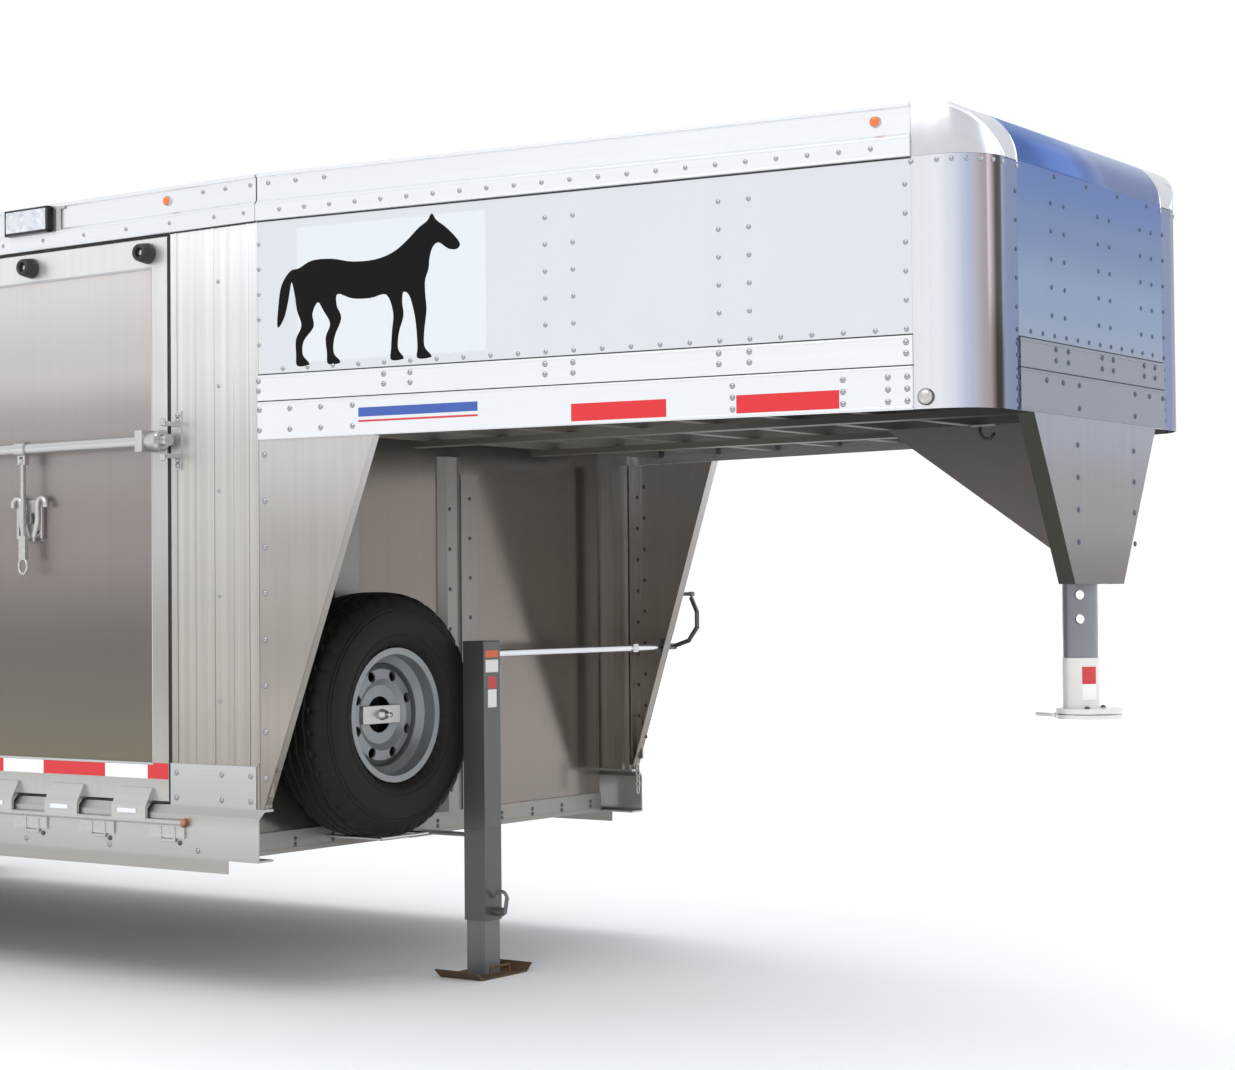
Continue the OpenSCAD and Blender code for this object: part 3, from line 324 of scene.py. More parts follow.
M = {
    "sheet": surface("polished_sheet", tone(221, 225, 229), 0.85, 0.16, (9, 9, 1.5), 0.015,
                     0.03, patch=0.6),
    # Front sheet: its blue tint and the colours up its height, bright at the top of the cove, are
    # painted sky and ground reflections.
    "front": surface("front_sheet", tone(150, 170, 200), 0.55, 0.3, (20, 20, 2), 0.03, 0.05,
                     ramp=[(1.9, tone(140, 148, 164)), (2.1, tone(122, 140, 168)),
                           (2.3, tone(96, 116, 154)), (2.42, tone(78, 104, 156)),
                           (2.5, tone(70, 94, 150)), (2.57, tone(116, 136, 176)),
                           (2.6, tone(236, 238, 242))], patch=0.4),
    # Bright corner: its colour comes from a colour attribute of painted reflections.
    "corner": surface("polished_corner", tone(238, 239, 241), 0.9, 0.12, (30, 30, 0.3), 0.05, 0.03,
                      painted_reflection="painted_reflection"),
    "cap": surface("cast_cap", tone(200, 201, 204), 0.9, 0.24, (34, 34, 34), 0.02, 0.03),
    # Satin extrusion: the colours up its height are painted ground reflection and shade.
    "rail": surface("satin_extrusion", tone(186, 186, 184), 0.85, 0.32, (0.8, 90, 90), 0.04, 0.05,
                    ramp=[(0.44, tone(164, 161, 155)), (0.47, tone(178, 176, 172)),
                          (0.55, tone(186, 185, 182)), (0.59, tone(176, 173, 167)),
                          (0.64, tone(182, 182, 180)), (0.76, tone(188, 190, 190))], patch=0.3),
    # Door extrusion: the colours up its height, darkest near the middle, are painted ground
    # reflection and shade.
    "edge": surface("door_extrusion", tone(200, 199, 196), 0.8, 0.34, (60, 60, 0.7), 0.05, 0.06,
                    ramp=[(0.63, tone(186, 184, 180)), (0.74, tone(172, 169, 163)),
                          (1.1, tone(158, 155, 148)), (1.6, tone(184, 182, 179)),
                          (2.0, tone(210, 208, 206)), (2.4, tone(222, 221, 220))]),
    "hinge": surface("hinge_extrusion", tone(190, 189, 185), 0.8, 0.32, (0.8, 60, 60), 0.05, 0.05),
    # Under frame: its dark tone and the further darkening towards the nose are painted shade.
    "under": surface("under_frame", tone(96, 91, 85), 0.45, 0.5, (0.8, 40, 40), 0.08, 0.08,
                     ramp=[(2.4, tone(118, 112, 104)), (3.4, tone(112, 106, 98)),
                           (4.2, tone(66, 62, 57)), (4.8, tone(54, 50, 46))], along=(1, 0, 0)),
    # Nose extrusion: the darker colour on its forward parts is painted reflection.
    "strip": surface("nose_extrusion", tone(232, 234, 236), 0.88, 0.26, (0.8, 0.8, 70), 0.02,
                     0.04, ramp=[(4.68, tone(232, 234, 236)), (4.80, tone(140, 144, 156)),
                                 (4.9, tone(134, 138, 150))], along=(1, 0, 0), patch=0.3),
    # Planks: the colours up their height, darker low and bright high, are painted ground and sky
    # reflections.
    "plank": surface("brushed_planks", tone(200, 197, 192), 0.75, 0.38, (46, 46, 0.35), 0.12, 0.08,
                     ramp=[(0.62, tone(160, 154, 144)), (1.1, tone(174, 169, 162)),
                           (1.65, tone(190, 186, 181)), (2.1, tone(218, 216, 214)),
                           (2.45, tone(238, 238, 239))]),
    "slat": surface("brushed_slats", tone(196, 195, 192), 0.8, 0.36, (0.6, 60, 60), 0.06, 0.08),
    # Ramp panel: the brownish, darker lower colours up its height are painted ground reflection and
    # shade.
    "panel": surface("ramp_panel", tone(170, 165, 160), 0.75, 0.33, (120, 120, 1.0), 0.05, 0.07,
                     ramp=[(0.72, tone(116, 110, 94)), (1.1, tone(106, 100, 94)),
                           (1.5, tone(138, 130, 126)), (1.86, tone(158, 152, 148)),
                           (2.04, tone(190, 185, 181)), (2.36, tone(210, 205, 202))], patch=0.45),
    # Wings: the colours up their height, darker low, are painted shade.
    "wing": surface("wing_sheet", tone(186, 181, 176), 0.75, 0.36, (50, 50, 1.2), 0.05, 0.07,
                    ramp=[(0.62, tone(140, 132, 122)), (0.9, tone(160, 153, 144)),
                          (1.1, tone(152, 145, 138)), (1.4, tone(162, 156, 150)),
                          (1.77, tone(190, 186, 183))]),
    "mill": surface("mill_aluminium", tone(150, 146, 140), 0.7, 0.45, (40, 40, 1.0), 0.08, 0.1,
                    patch=0.4),
    # Bulkhead sheet: its dark tone and the darkening towards the right wing are painted shade.
    "bulkhead_shade": surface("shaded_bulkhead_sheet", tone(132, 124, 117), 0.8, 0.17, (30, 30, 0.6), 0.06, 0.05,
                    ramp=[(-1.0, tone(104, 98, 92)), (-0.2, tone(130, 122, 115)),
                          (1.0, tone(132, 124, 117))], along=(0, 1, 0), patch=0.5),
    # Neck sheet: the darkening towards the bottom and the dark colour on faces turned to either side
    # are painted shade.
    "neck": surface("neck_sheet", tone(150, 152, 158), 0.7, 0.34, (26, 26, 1.2), 0.07, 0.06,
                    ramp=[(1.29, tone(108, 102, 98)), (1.5, tone(134, 130, 130)),
                          (1.77, tone(144, 148, 157))], side_shade=tone(62, 62, 54)),
    "gusset": surface("gusset_plate", tone(98, 92, 88), 0.5, 0.45, (30, 30, 30), 0.04, 0.05),
    "tread_plate": surface("floor_plate", tone(170, 170, 170), 0.8, 0.42, (120, 120, 4), 0.12, 0.1,
                           bump=1.0),
    "roof": surface("roof_skin", tone(178, 181, 184), 0.6, 0.4, (4, 30, 1), 0.03, 0.05, patch=0.4),
    "rivet": new_material("rivet_bright", tone(158, 160, 163), 0.95, 0.24),
    # The two darker copies of the rivet finish below are painted shade for rivets inside the nose
    # and under parts, and painted sky reflection for the front rivets.
    "rivet_shaded": new_material("rivet_shaded", tone(92, 89, 87), 0.8, 0.35),
    "rivet_front_reflection": new_material("rivet_front_reflection", tone(84, 92, 108), 0.9, 0.3),
    "chrome": new_material("chrome_bead", tone(232, 233, 235), 1.0, 0.06),
    "zinc": surface("cast_zinc", tone(190, 188, 183), 0.85, 0.34, (90, 90, 90), 0.1, 0.1, bump=0.5),
    "steel": surface("plated_steel", tone(196, 196, 194), 0.95, 0.22, (2, 80, 80), 0.04, 0.06),
    "jack": surface("jack_paint", tone(86, 87, 84), 0.25, 0.38, (14, 14, 3), 0.08, 0.08, coat=0.2),
    "shaft": surface("cross_shaft", tone(226, 226, 228), 0.9, 0.16, (3, 3, 60), 0.04, 0.05,
                     ramp=[(0.94, tone(224, 224, 227)), (0.975, tone(92, 92, 94))],
                     along=(0, 1, 0)),
    "leg": surface("leg_paint", tone(112, 113, 115), 0.3, 0.36, (14, 14, 3), 0.08, 0.08, coat=0.2),
    "rust": surface("worn_foot", tone(92, 72, 50), 0.25, 0.7, (60, 60, 60), 0.35, 0.15, patch=0.5,
                    bump=0.6),
    "wheel": surface("wheel_paint", tone(132, 136, 138), 0.45, 0.34, (20, 20, 20), 0.03, 0.04,
                     coat=0.3),
    "tube": surface("tube_paint", tone(120, 121, 126), 0.35, 0.3, (10, 10, 3), 0.05, 0.05,
                    coat=0.4),
    "head": surface("head_paint", tone(216, 213, 208), 0.15, 0.3, (12, 12, 12), 0.03, 0.05,
                    coat=0.4),
    "axle": surface("axle_paint", tone(40, 41, 42), 0.2, 0.42, (12, 12, 12), 0.1, 0.08, coat=0.2),
    "tyre": surface("tyre_rubber", tone(27, 24, 22), 0.0, 0.6, (40, 40, 40), 0.14, 0.1, patch=0.4,
                    spec=0.22),
    "rubber": surface("black_rubber", tone(34, 32, 32), 0.0, 0.42, (40, 40, 40), 0.1, 0.05),
    "black": new_material("black_trim", tone(22, 22, 22), 0.0, 0.35),
    "gap": new_material("seam_shadow", tone(34, 32, 30), 0.0, 0.7),
    "red_tape": surface("red_tape", tone(206, 26, 34), 0.0, 0.4, (160, 160, 160), 0.05, 0.0,
                        coat=0.15),
    "white_tape": surface("white_tape", tone(238, 238, 238), 0.0, 0.32, (160, 160, 160), 0.02, 0.0,
                          coat=0.4),
    "decal": new_material("decal_black", tone(8, 8, 9), 0.0, 0.5, spec=0.12),
    "film": new_material("decal_film", tone(226, 231, 235), 0.75, 0.2),
    "blue": new_material("stripe_blue", tone(54, 84, 160), 0.0, 0.35),
    "red": new_material("stripe_red", tone(196, 52, 54), 0.0, 0.35),
    "orange": new_material("block_orange", tone(222, 96, 40), 0.0, 0.4),
    "white": new_material("block_white", tone(232, 230, 226), 0.0, 0.4),
    "amber": new_material("lens_amber", tone(226, 104, 30), 0.0, 0.12, coat=0.6),
    "lens_red": new_material("lens_red", tone(176, 20, 22), 0.0, 0.12, coat=0.6),
    "copper": surface("pin_end", tone(186, 130, 104), 0.8, 0.35, (80, 80, 80), 0.1, 0.05),
    "sealant": new_material("sealant", tone(172, 168, 160), 0.0, 0.6),
    "lens": surface("lens_clear", tone(206, 210, 216), 0.35, 0.12, (60, 30, 60), 0.25, 0.05,
                    bump=2.5),
}

NODE_LOOK = {
    "floor_sheets": "tread_plate", "floor_beams": "mill", "bottom_rails": "rail",
    "side_planks": "plank", "vent_slats": "slat", "hoop_frames": "mill", "door_frame": "edge",
    "top_rails": "strip", "roof_sheet": "roof", "bulkhead_sheet": "bulkhead_shade", "bulkhead_frame": "mill",
    "nose_sides": "sheet", "nose_front": "front", "nose_corners": "corner", "corner_caps": "cap",
    "front_cove": "front", "nose_strips": "strip", "nose_frame": "under", "neck_plate": "neck",
    "neck_gussets": "gusset", "coupler_socket": "tube", "wings": "wing", "spare_rim": "wheel",
    "spare_tyre": "tyre", "spare_carrier": "steel", "jack_tube": "jack", "jack_mounts": "mill",
    "axles": "axle", "fenders": "rail", "rear_frame": "slat", "rear_rubbers": "rubber",
    "lamps": "amber", "load_light": "lens", "hinge_base": "zinc", "ramp_panel": "panel",
    "ramp_frame": "edge", "ramp_hinge": "hinge", "ramp_bumpers": "rubber", "cam_bar": "steel",
    "cam_handle": "zinc", "gate_frame": "slat", "gate_slider": "panel", "gate_latch": "zinc",
    "centre_gate": "slat", "coupler_tube": "tube", "coupler_head": "head",
    "coupler_latch": "head", "jack_leg": "leg", "jack_foot": "rust", "drop_pin": "leg",
    "jack_shaft": "shaft", "crank_grip": "leg"}
for w in ("fr", "rr", "fl", "rl"):
    NODE_LOOK["wheel_" + w] = "wheel"
    NODE_LOOK["tyre_" + w] = "tyre"
for n, look in NODE_LOOK.items():
    nodes[n].data.materials.clear()
    nodes[n].data.materials.append(M[look])

SOFT = {"bottom_rails": 2.5, "door_frame": 2, "top_rails": 1.2, "nose_strips": 1.6,
        "bulkhead_frame": 1.5, "neck_plate": 2.5, "neck_gussets": 1.2, "wings": 1.2,
        "jack_tube": 5, "jack_mounts": 1.5, "fenders": 2, "rear_frame": 3, "rear_rubbers": 8,
        "ramp_frame": 2.2, "cam_handle": 3, "gate_frame": 3, "gate_latch": 2, "centre_gate": 2,
        "jack_leg": 5, "jack_foot": 1.5, "side_planks": 1.2, "vent_slats": 3, "nose_sides": 0.6,
        "nose_front": 0.6}
for n, width in SOFT.items():
    soften(nodes[n], width)


# ---- rivets -----------------------------------------------------------------

def rivet_tree():
    """Sets a domed head on each point, turned to the point's facing."""
    tree = bpy.data.node_groups.new("rivet_rows", "GeometryNodeTree")
    for name, way, kind in (("Geometry", "INPUT", "Geometry"), ("Radius", "INPUT", "Float"),
                            ("Flatness", "INPUT", "Float"), ("Finish", "INPUT", "Material"),
                            ("Geometry", "OUTPUT", "Geometry")):
        tree.interface.new_socket(name, in_out=way, socket_type="NodeSocket" + kind)
    n = tree.nodes
    start, end = n.new("NodeGroupInput"), n.new("NodeGroupOutput")
    ball = n.new("GeometryNodeMeshUVSphere")
    ball.inputs["Segments"].default_value = 12
    ball.inputs["Rings"].default_value = 8
    flat = n.new("ShaderNodeCombineXYZ")
    flat.inputs["X"].default_value = 1.0
    flat.inputs["Y"].default_value = 1.0
    squash = n.new("GeometryNodeTransform")
    smooth = n.new("GeometryNodeSetShadeSmooth")
    facing = n.new("GeometryNodeInputNamedAttribute")
    facing.data_type = "FLOAT_VECTOR"
    facing.inputs["Name"].default_value = "facing"
    turn = n.new("FunctionNodeAlignRotationToVector")
    turn.axis = "Z"
    rows = n.new("GeometryNodeInstanceOnPoints")
    real = n.new("GeometryNodeRealizeInstances")
    paint = n.new("GeometryNodeSetMaterial")
    for a, b in ((start.outputs["Radius"], ball.inputs["Radius"]),
                 (start.outputs["Flatness"], flat.inputs["Z"]),
                 (ball.outputs["Mesh"], squash.inputs["Geometry"]),
                 (flat.outputs["Vector"], squash.inputs["Scale"]),
                 (squash.outputs["Geometry"], smooth.inputs["Geometry"]),
                 (facing.outputs["Attribute"], turn.inputs["Vector"]),
                 (start.outputs["Geometry"], rows.inputs["Points"]),
                 (smooth.outputs["Geometry"], rows.inputs["Instance"]),
                 (turn.outputs["Rotation"], rows.inputs["Rotation"]),
                 (rows.outputs["Instances"], real.inputs["Geometry"]),
                 (real.outputs["Geometry"], paint.inputs["Geometry"]),
                 (start.outputs["Finish"], paint.inputs["Material"]),
                 (paint.outputs["Geometry"], end.inputs["Geometry"])):
        tree.links.new(a, b)
    return tree


RIVETS = rivet_tree()


def rivets(name, spots, radius, finish="rivet", flat=0.5, body="trailer"):
    """Domed heads at [(point, facing)]."""
    mesh = bpy.data.meshes.new(name + "_spots")
    mesh.from_pydata([place(p) for p, _ in spots], [], [])
    facing = mesh.attributes.new("facing", "FLOAT_VECTOR", "POINT")
    facing.data.foreach_set("vector", np.array([f for _, f in spots], np.float32).ravel())
    seed = bpy.data.objects.new(name + "_spots", mesh)
    bpy.context.scene.collection.objects.link(seed)
    mod = seed.modifiers.new("rows", "NODES")
    mod.node_group = RIVETS
    given = {"Radius": radius / 1000, "Flatness": flat, "Finish": M[finish]}
    for item in RIVETS.interface.items_tree:
        if item.in_out == "INPUT" and item.name in given:
            mod[item.identifier] = given[item.name]
    bpy.context.view_layer.update()
    graph = bpy.context.evaluated_depsgraph_get()
    made = bpy.data.meshes.new_from_object(seed.evaluated_get(graph))
    made.name = name
    bpy.data.objects.remove(seed)
    return add_object(name, made, body)


# Spacing of the long rivet lines, and the heights of the two lines on the band.
PITCH = 93.5
WALL_LINE, LIP_LINE = 2480, 2566


def nose_rivets(side):
    """Small and bold heads of one nose side: upright columns, then the long lines."""
    f = nose_facing(side)
    small, bold = [], []

    def dot(s, z, out=0.0):
        return (nose_point(s, out, z, side), f)
    rows = [2377 - 78.6 * i for i in range(6)]
    for s in (5, 1030, 1123, 1590, 1684):
        small += [dot(s, z) for z in rows[:5]]
    small += [dot(95 + PITCH * i, STRIP2 + 17) for i in range(22)]
    small += [dot(90 + PITCH * i, WALL_LINE, 8) for i in range(22)]
    small += [dot(s, LIP_LINE, 3) for s in (45, 148, 255)]
    small += [dot(SEAM - 18, z) for z in rows]
    for s in (6, 470, 564, 1030, 1123, 1590, 1684, SEAM - 18):
        bold += [dot(s, z, STRIP_OUT) for z in (1948, 1918)]
    for s in (9, 124, 239, 356):
        bold += [dot(s, z, STRIP_OUT) for z in (1859, 1795)]
    for s in (1631, 1964, 2095, SEAM - 16):
        bold += [dot(s, z, STRIP_OUT) for z in (1855, 1822, 1789)]
    return small, bold


small, bold = (right + left for right, left in zip(nose_rivets(-1), nose_rivets(1)))
front, front_bold = [], []
for y in (-285, -200, 31, 112, 337, 420):
    front += [((NOSE_L, y, 2360 - 79 * i), AHEAD) for i in range(5)]
front += [((NOSE_L, y, 2438), AHEAD) for y in (-257, -43, 175, 392)]
front += [((NOSE_L, -423 + 76.7 * i, 1988), AHEAD) for i in range(12)]
for y in (-272, -191, 40, 118, 345, 426):
    front_bold += [((NOSE_L + STRIP_OUT, y, z), AHEAD) for z in (1949, 1918)]
front_bold += [((NOSE_L + STRIP_OUT, y, 1859), AHEAD) for y in (-334, -228, -120, 274, 381, 483)]
front_bold += [((NOSE_L + STRIP_OUT, y, 1793), AHEAD) for y in (-121, 272)]
front_bold += [((NOSE_L + 6, y, 1688 - 92 * i), AHEAD) for y in (-140, 254) for i in range(4)]

CORNER_C = (NOSE_L - CORNER_R,
            HALF - (CORNER_R + (NOSE_L - CORNER_R) * math.sin(TAPER)) / math.cos(TAPER))


def corner_path(side, steps=32):
    """Plan points and facings round a corner, from the side seam to the front seam."""
    path = [(nose_point(SEAM, 0, 0, side), nose_facing(side))]
    for i in range(steps + 1):
        a = (math.pi / 2 - TAPER) * (1 - i / steps)
        path.append(((CORNER_C[0] + CORNER_R * math.cos(a),
                      side * (CORNER_C[1] + CORNER_R * math.sin(a)), 0),
                     (math.cos(a), side * math.sin(a), 0)))
    path.append(((NOSE_L, side * FRONT_SEAM, 0), AHEAD))
    return path


for side in (-1, 1):
    path = corner_path(side)
    front += [((NOSE_L, side * 508, z), AHEAD) for z in
              (2364, 2285, 2206, 2127, 2048, 1986, 1948, 1917, 1857, 1825, 1793)]
    small += [((p[0], p[1], 2436), f) for p, f in path[1::6]]
    small += [((p[0], p[1], 2436), f) for p, f in (path[0], path[-1])]

wall = []
for side, f in ((-1, RIGHT), (1, LEFT)):
    wall += [((-170, side * HALF, z), f) for z in (2275, 1944, 1613, 1282, 951)]
    wall += [((x, side * (HALF + 8), WALL_LINE), f) for x in (-179, -51)]
    x = -379 if side < 0 else -280
    while x > 80 - BOX_L:
        wall.append(((x, side * (HALF + 8), WALL_LINE), f))
        x -= 200
    wall += [((x, side * (HALF + 3), LIP_LINE), f) for x in (-27, -135, -233)]
sill = []
for side, f, columns in ((-1, RIGHT, (-360, -160, -35)), (-1, RIGHT, range(-7200, -1760, 240)),
                         (1, LEFT, range(-7200, 0, 240))):
    sill += [((x, side * (HALF + 4), z), f) for x in columns for z in (720, 641)]
sill += [((x, s * (HALF + 24), 479), (0, s, 0)) for s in (-1, 1) for x in range(-7080, -200, 402)]
sill += [(nose_point(24, 0.0, 714 + 143.5 * i, s), nose_facing(s)) for s in (-1, 1)
         for i in range(8)]
rivets("sheet_rivets", small, 7.5)
rivets("strip_rivets", bold, 9.0)
rivets("front_rivets", front, 7.0, "rivet_front_reflection")
rivets("front_bolts", front_bold, 8.5, "rivet_front_reflection")
rivets("wall_rivets", wall, 7.0)
rivets("sill_rivets", sill, 9.5)

# Rivets on the inside of both wings, the bulkhead and its lower edge.
inner = []
for s in (-1, 1):
    inward = (-math.sin(TAPER), -s * math.cos(TAPER), 0)
    for i in range(9):
        inner.append((nose_point(33, -12, 700 + 118 * i, s), inward))
        inner.append((nose_point(60, -4, 740 + 118 * i, s), inward))
for z in range(600, 1720, 140):
    inner.append(((-109, 52, z), AHEAD))
    inner.append(((-130, 190, z + 40), AHEAD))
for z in (496, 478):
    inner += [((-128, y, z), AHEAD) for y in range(-900, 901, 180)]
rivets("inner_rivets", inner, 7.5, "rivet_shaded")


# ---- nose corners, caps and cove ---------------------------------------------

def wall_strip(path, z0, z1, name, mats, thick=3.0):
    """A curved upright sheet along a plan path."""
    pts, faces = [], []
    for p, f in path:
        for t in (0.0, thick):
            for z in (z0, z1):
                pts.append((p[0] - t * f[0], p[1] - t * f[1], z))
    for i in range(len(path) - 1):
        a, b = 4 * i, 4 * (i + 1)
        faces += [(a, b, b + 1, a + 1), (a + 2, a + 3, b + 3, b + 2),
                  (a, a + 2, b + 2, b), (a + 1, b + 1, b + 3, a + 3)]
    ob = piece(name, pts, faces, mats, smooth=True)
    soften(ob, 0.4, 1, 60)
    return ob


# Painted reflections on the bright corner, by the way it faces: 90 degrees to the side, 0 ahead.
CORNER_REFLECTIONS = [(90, (226, 228, 231)), (76, (220, 223, 227)), (66, (210, 214, 222)),
                (57, (188, 194, 208)), (49, (172, 180, 198)), (43, (176, 174, 184)),
                (35, (166, 156, 162)), (27, (158, 144, 148)), (23, (124, 112, 108)),
                (18, (58, 52, 47)), (11, (54, 54, 52)), (8, (104, 112, 128)),
                (4, (136, 142, 160)), (0, (116, 130, 162))]


def corner_reflection(angle):
    """The painted reflection colour at an angle, between its two nearest ones."""
    angles = [a for a, _ in CORNER_REFLECTIONS][::-1]
    return [float(np.interp(angle, angles, [c[k] for _, c in CORNER_REFLECTIONS][::-1]))
            for k in range(3)]


def paint_corner_reflection(ob):
    """Stores each point's painted reflection colour, which the bright sheet's material reads."""
    layer = ob.data.color_attributes.new("painted_reflection", "FLOAT_COLOR", "POINT")
    for v, c in zip(ob.data.vertices, layer.data):
        dx = v.co.x * 1000 - KINK - CORNER_C[0]
        dy = abs(v.co.y) * 1000 - CORNER_C[1]
        angle = math.degrees(math.atan2(max(dy, 0.0), max(dx, 0.0)))
        c.color = tone(*corner_reflection(angle))


for side, word in SIDES:
    ob = wall_strip(corner_path(side, steps=64), NOSE_Z, BAND_Z - 0.4, "corner_sheet_" + word,
                    "corner")
    paint_corner_reflection(ob)
    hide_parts("nose_corners")


def cove_top(x):
    if x <= NOSE_L - COVE_R:
        return ROOF_Z
    return BAND_Z + math.sqrt(max(COVE_R ** 2 - (x - NOSE_L + COVE_R) ** 2, 0))


def cove_arc(steps):
    """The rolled top front, from the roof down to the band."""
    return [(NOSE_L - COVE_R + COVE_R * math.sin(a), BAND_Z + COVE_R * math.cos(a))
            for a in (math.pi / 2 * i / steps for i in range(steps + 1))]


def fine_corner(side):
    """Plan path with many points, so that the cap's curved edge is smooth."""
    rows = [nose_point(SEAM + i * 4, 0, 0, side) for i in range(6)]
    rows += [p for p, _ in corner_path(side, steps=64)[1:-1]]
    rows += [(NOSE_L, side * (567 - 7 * i), 0) for i in range(1, 11)]
    return rows


for side, word in SIDES:
    rows = fine_corner(side)
    pts, faces = [], []
    for x, y, _ in rows:
        top = cove_top(x)
        pts += [(x, y, BAND_Z), (x, y, max(top - 8, BAND_Z)), (x - 1.5, y - side * 2.5, top),
                (x - 1.5, side * FRONT_SEAM, top)]
    for i in range(len(rows) - 1):
        a, b = 4 * i, 4 * (i + 1)
        for k in range(3):
            q = (a + k, b + k, b + k + 1, a + k + 1)
            faces.append(q if side < 0 else q[::-1])
    n = len(pts)
    pts.append((CAP_INNER_X, side * FRONT_SEAM, ROOF_Z))
    faces.append((2, 3, n) if side < 0 else (2, n, 3))
    cap = piece("corner_cap_" + word, pts, faces, "cap", smooth=True)
    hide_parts("corner_caps")
    thicken(cap)
    soften(cap, 0.8, 2, 30)
    line = [(x, y, cove_top(x) - 7) for x, y, _ in rows]
    line = [(x - 3, y - side * 4, z) for x, y, z in line if z > BAND_Z + 2]
    tube("cap_bead_" + word, line, 6.5, "chrome", sides=12)
    seam = [(x - 3.0, side * FRONT_SEAM, z - 5.5) for x, z in cove_arc(15)]
    tube("cove_bead_" + word, seam, 5.0, "chrome", sides=10)

pts = [(x, y, z) for x, z in cove_arc(32) for y in (-FRONT_SEAM + 0.4, FRONT_SEAM - 0.4)]
faces = [(2 * i, 2 * i + 2, 2 * i + 3, 2 * i + 1) for i in range(32)]
cove = piece("front_cove_skin", pts, faces, "front", smooth=True)
thicken(cove)
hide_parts("front_cove")

# Seam shadows and joint covers on the nose.
for side, word in SIDES:
    w = on_nose(side)
    boxes("nose_seams_" + word, [
        ((2, -1, BAND_Z - 5), (SEAM, 1.2, BAND_Z - 0.5)),
        ((2, -1, STRIP2 - 1), (SEAM, 1.0, STRIP2 + 4)),
        ((2, 0, STRIP1 - 2.5), (SEAM, STRIP_OUT + 0.3, STRIP1 + 1.0))], "gap", warp=w)
    boxes("strip_lips_" + word, [
        ((4, inner, z - high), (SEAM - 2, outer, z)) for inner, outer, high, z in (
            (1, STRIP_OUT + 3, 6, STRIP2 - 3), (1, STRIP_OUT + 3, 5, STRIP1 - 4),
            (1, STRIP_OUT + 3, 7, NOSE_Z + 9), (4, 11, 6, BAND_Z + 7),
            (4, 10.5, 6, BAND_Z + 56), (2, 9, 11, ROOF_Z - 1))], "strip", bevel=1.2, warp=w)
    boxes("band_joint_" + word, [((-2, 0, BAND_Z + 1), (34, 8.8, BAND_Z + 54))],
          "strip", bevel=1.0, warp=w)
boxes("front_seams", [
    ((NOSE_L - 1, -FRONT_SEAM, STRIP2 - 1), (NOSE_L + 1.0, FRONT_SEAM, STRIP2 + 4)),
    ((NOSE_L, -FRONT_SEAM, STRIP1 - 2.5), (NOSE_L + STRIP_OUT + 0.3, FRONT_SEAM, STRIP1 + 1.0))],
    "gap")
boxes("front_lips", [
    ((NOSE_L, -FRONT_SEAM - 4, z - high), (NOSE_L + STRIP_OUT + 2.5, FRONT_SEAM, z))
    for high, z in ((6, STRIP2 - 3), (5, STRIP1 - 4), (7, NOSE_Z + 9))], "strip", bevel=1.0)


# ---- tapes, decal and stripes ---------------------------------------------------

for side, word in SIDES:
    boxes("nose_tape_" + word, [((a, 4, 1777), (b, STRIP_OUT + 0.5, 1828))
                                for a, b in ((1116, 1424), (1643, 1953))],
          "red_tape", warp=on_nose(side))
edges = [-397, -491, -689, -987, -1187, -1487, -1676]
boxes("ramp_tape", [((b, -1020.5, 697), (a, -1019.5, 748)) for a, b in zip(edges, edges[1:])],
      ["red_tape", "white_tape"], body="ramp", which=[i % 2 for i in range(6)])
for side, word, end in ((1, "left", -300), (-1, "right", -1900)):
    y0, y1 = sorted((side * (HALF + 3.5), side * (HALF + 4.5)))
    spans = []
    for x in range(-7240, end, 500):
        spans += [((x, y0, 660), (x + 300, y1, 711)), ((x + 300, y0, 660), (x + 500, y1, 711))]
    boxes(word + "_tape", spans, ["red_tape", "white_tape"],
          which=[0, 1] * (len(spans) // 2))

# A standing horse in side view, drawn for this trailer in a 100 x 62 field.
HORSE = [(12, 44), (18, 47), (27, 47), (36, 45), (46, 45), (54, 47.5), (60, 52), (65, 57), (69, 60),
         (71, 63), (73, 60), (77, 56.5), (81, 52), (83, 48.5), (81.5, 46.5), (78, 47), (74, 50),
         (71.5, 48.5), (70, 44), (69.5, 39), (68, 34), (68, 28), (68.5, 21), (67.5, 12), (67.5, 5),
         (70, 1.5), (70, 0), (64.5, 0), (64.5, 5), (64, 14), (63, 21), (61, 28), (58.5, 29.5),
         (58, 25), (58.5, 19), (56.5, 12), (56, 5), (58, 1.5), (58, 0), (53, 0), (53, 5), (53.5, 13),
         (54, 21), (51, 29), (44, 28), (36, 28.5), (29.5, 31), (29, 26), (31, 20), (28, 12),
         (27.5, 5), (30, 1.5), (30, 0), (25, 0), (24.5, 5), (24, 12), (26, 18), (23, 24), (20.5, 28),
         (18, 23), (18.5, 17), (14, 11), (13.5, 5), (16, 1.5), (16, 0), (11, 0), (10.5, 5),
         (10.5, 12), (13, 18), (11, 25), (10, 32), (8.5, 38), (7, 30), (5, 22), (2, 18), (2.5, 28),
         (4, 37), (8, 43)]


def eased(points, steps):
    """Points of a smooth curve from the second point to the last but one."""
    out = []
    for four in zip(points, points[1:], points[2:], points[3:]):
        p0, p1, p2, p3 = (np.array(p, float) for p in four)
        for t in (j / steps for j in range(steps)):
            out.append(tuple(0.5 * (2 * p1 + (p2 - p0) * t + (2 * p0 - 5 * p1 + 4 * p2 - p3) * t * t
                                    + (3 * p1 - p0 - 3 * p2 + p3) * t ** 3)))
    return out


def smooth_loop(points, steps=4):
    return eased(points[-1:] + points + points[:2], steps)


